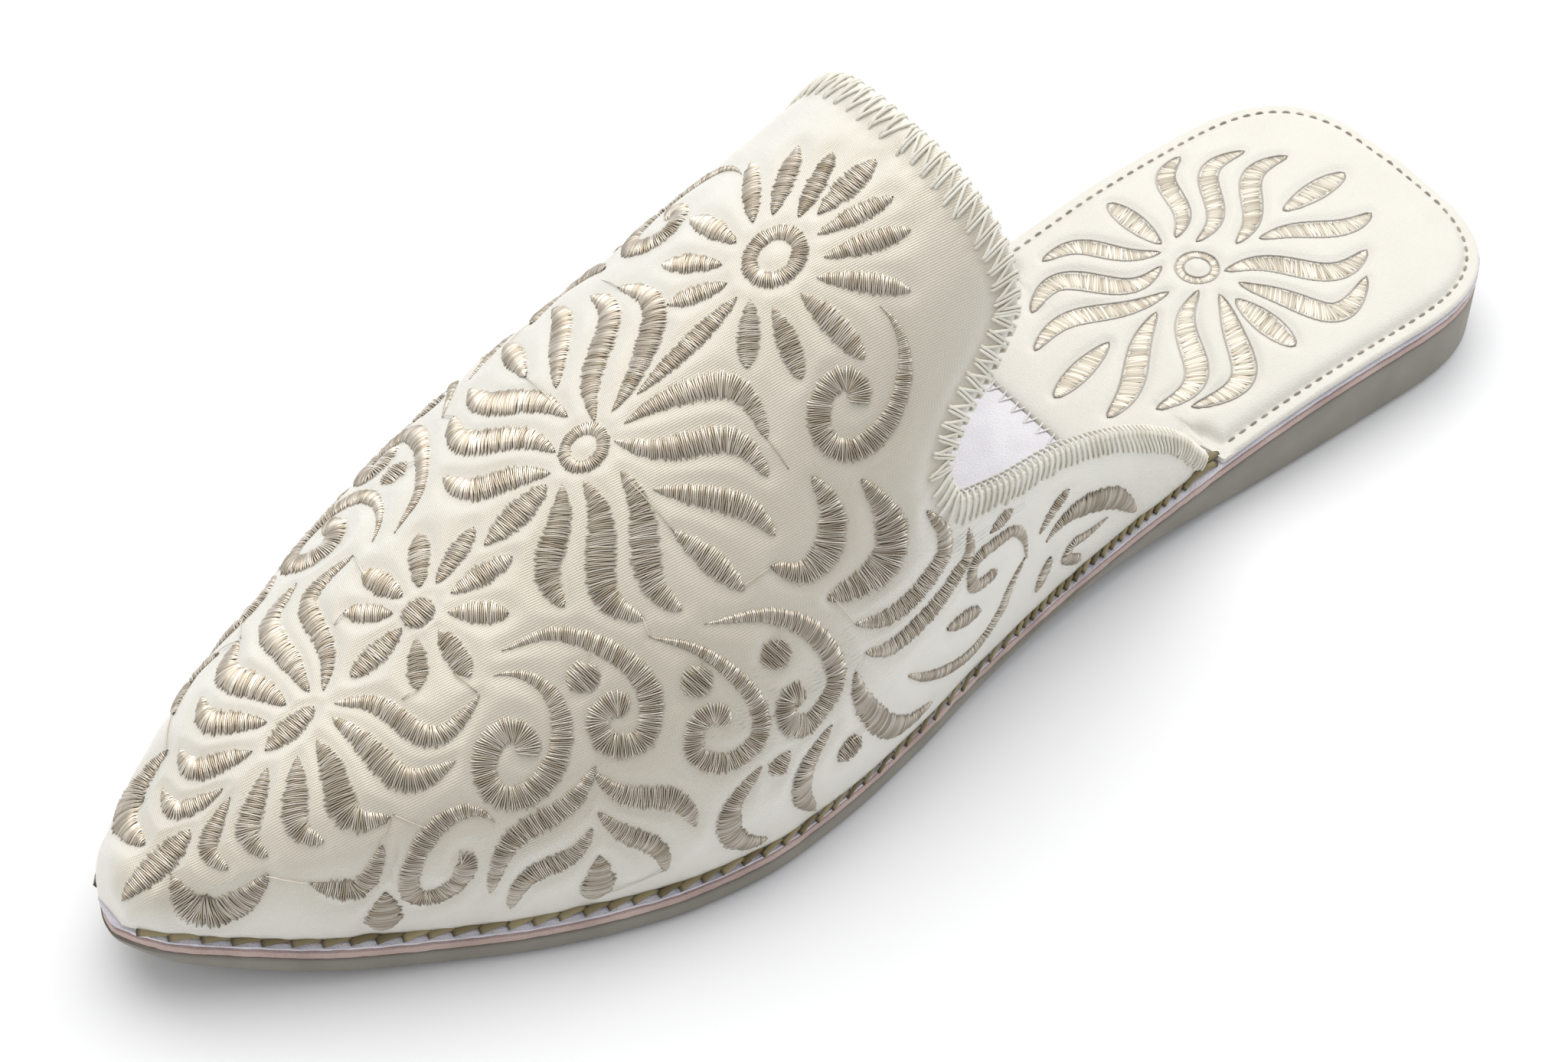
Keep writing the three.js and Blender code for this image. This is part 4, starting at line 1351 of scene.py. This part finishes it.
def studio(right, up, ahead):
    """Soft light from above and behind, a weak fill, a pale world and a wide pale floor."""
    centre = Vector((0, 0, 0.04))
    flat_right = Vector((right.x, right.y, 0)).normalized()
    away = Vector((ahead.x, ahead.y, 0)).normalized()
    above = centre + Vector((0, 0, 1.1)) + away * 0.5 - flat_right * 0.2
    beside = centre + flat_right * 0.9 + away * 0.5 + Vector((0, 0, 0.55))
    before = centre - flat_right * 0.9 - away * 0.6 + Vector((0, 0, 0.7))
    softbox("top_softbox", above, centre, 1.6, 1.3, 15, (1, 0.99, 0.97))
    softbox("side_softbox", beside, centre, 0.7, 0.7, 4, (0.97, 0.985, 1))
    softbox("fill_softbox", before, centre, 0.9, 0.9, 1.6, (1, 0.98, 0.95))
    world = bpy.data.worlds.new("studio")
    world.use_nodes = True
    world.node_tree.nodes["Background"].inputs["Color"].default_value = (0.93, 0.95, 1, 1)
    world.node_tree.nodes["Background"].inputs["Strength"].default_value = 0.54
    bpy.context.scene.world = world
    bpy.context.scene.view_settings.view_transform = "Standard"
    half = 3.0
    corners = [(-half, -half, 0), (half, -half, 0), (half, half, 0), (-half, half, 0)]
    white = material("floor_white", lambda n, bsdf: None, Base_Color=rgb(0.9, 0.9, 0.9), Roughness=0.6)
    floor = make("floor", corners, [(0, 1, 2, 3)], [white])


# ---------- assembly
def own(piece, slot=None, *nodes):
    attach(piece, BODY)
    if nodes:
        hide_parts(*nodes)
    return piece


own(upper_piece(satin_pins()), "satin", "upper")
for node, (piece, slot) in sole_pieces().items():
    own(piece, slot, node)
own(sock(), "textile", "insole_forepart")
pad = heel_pad(flower_pins())
own(pad, "leather", "insole_heel_pad")
PAD_SURFACE = BVHTree.FromObject(pad, bpy.context.evaluated_depsgraph_get())

for piece in embroidery().values():
    own(piece)
for piece in heel_flower(PAD_SURFACE):
    own(piece)
own(corded("collar_stitches_outer", collar_stitches(1), STRAW_THREAD, seed=2))
own(corded("collar_stitches_inner", collar_stitches(-1), STRAW_THREAD, seed=3))
own(corded("jump_threads", jump_threads(), METALLIC_THREAD, seed=9, Sides=4))
own(corded("groove_stitches", groove_stitches(1) + groove_stitches(-1), OLIVE_THREAD, seed=5))
own(corded("wing_tacks", wing_tacks(1) + wing_tacks(-1), OLIVE_THREAD, seed=6, Sides=8))
own(corded("heel_stitches", heel_dashes(PAD_SURFACE), DARK_THREAD, seed=7))
own(corded("zigzag_seam", zigzag(), PALE_THREAD, seed=8))

studio(*camera())
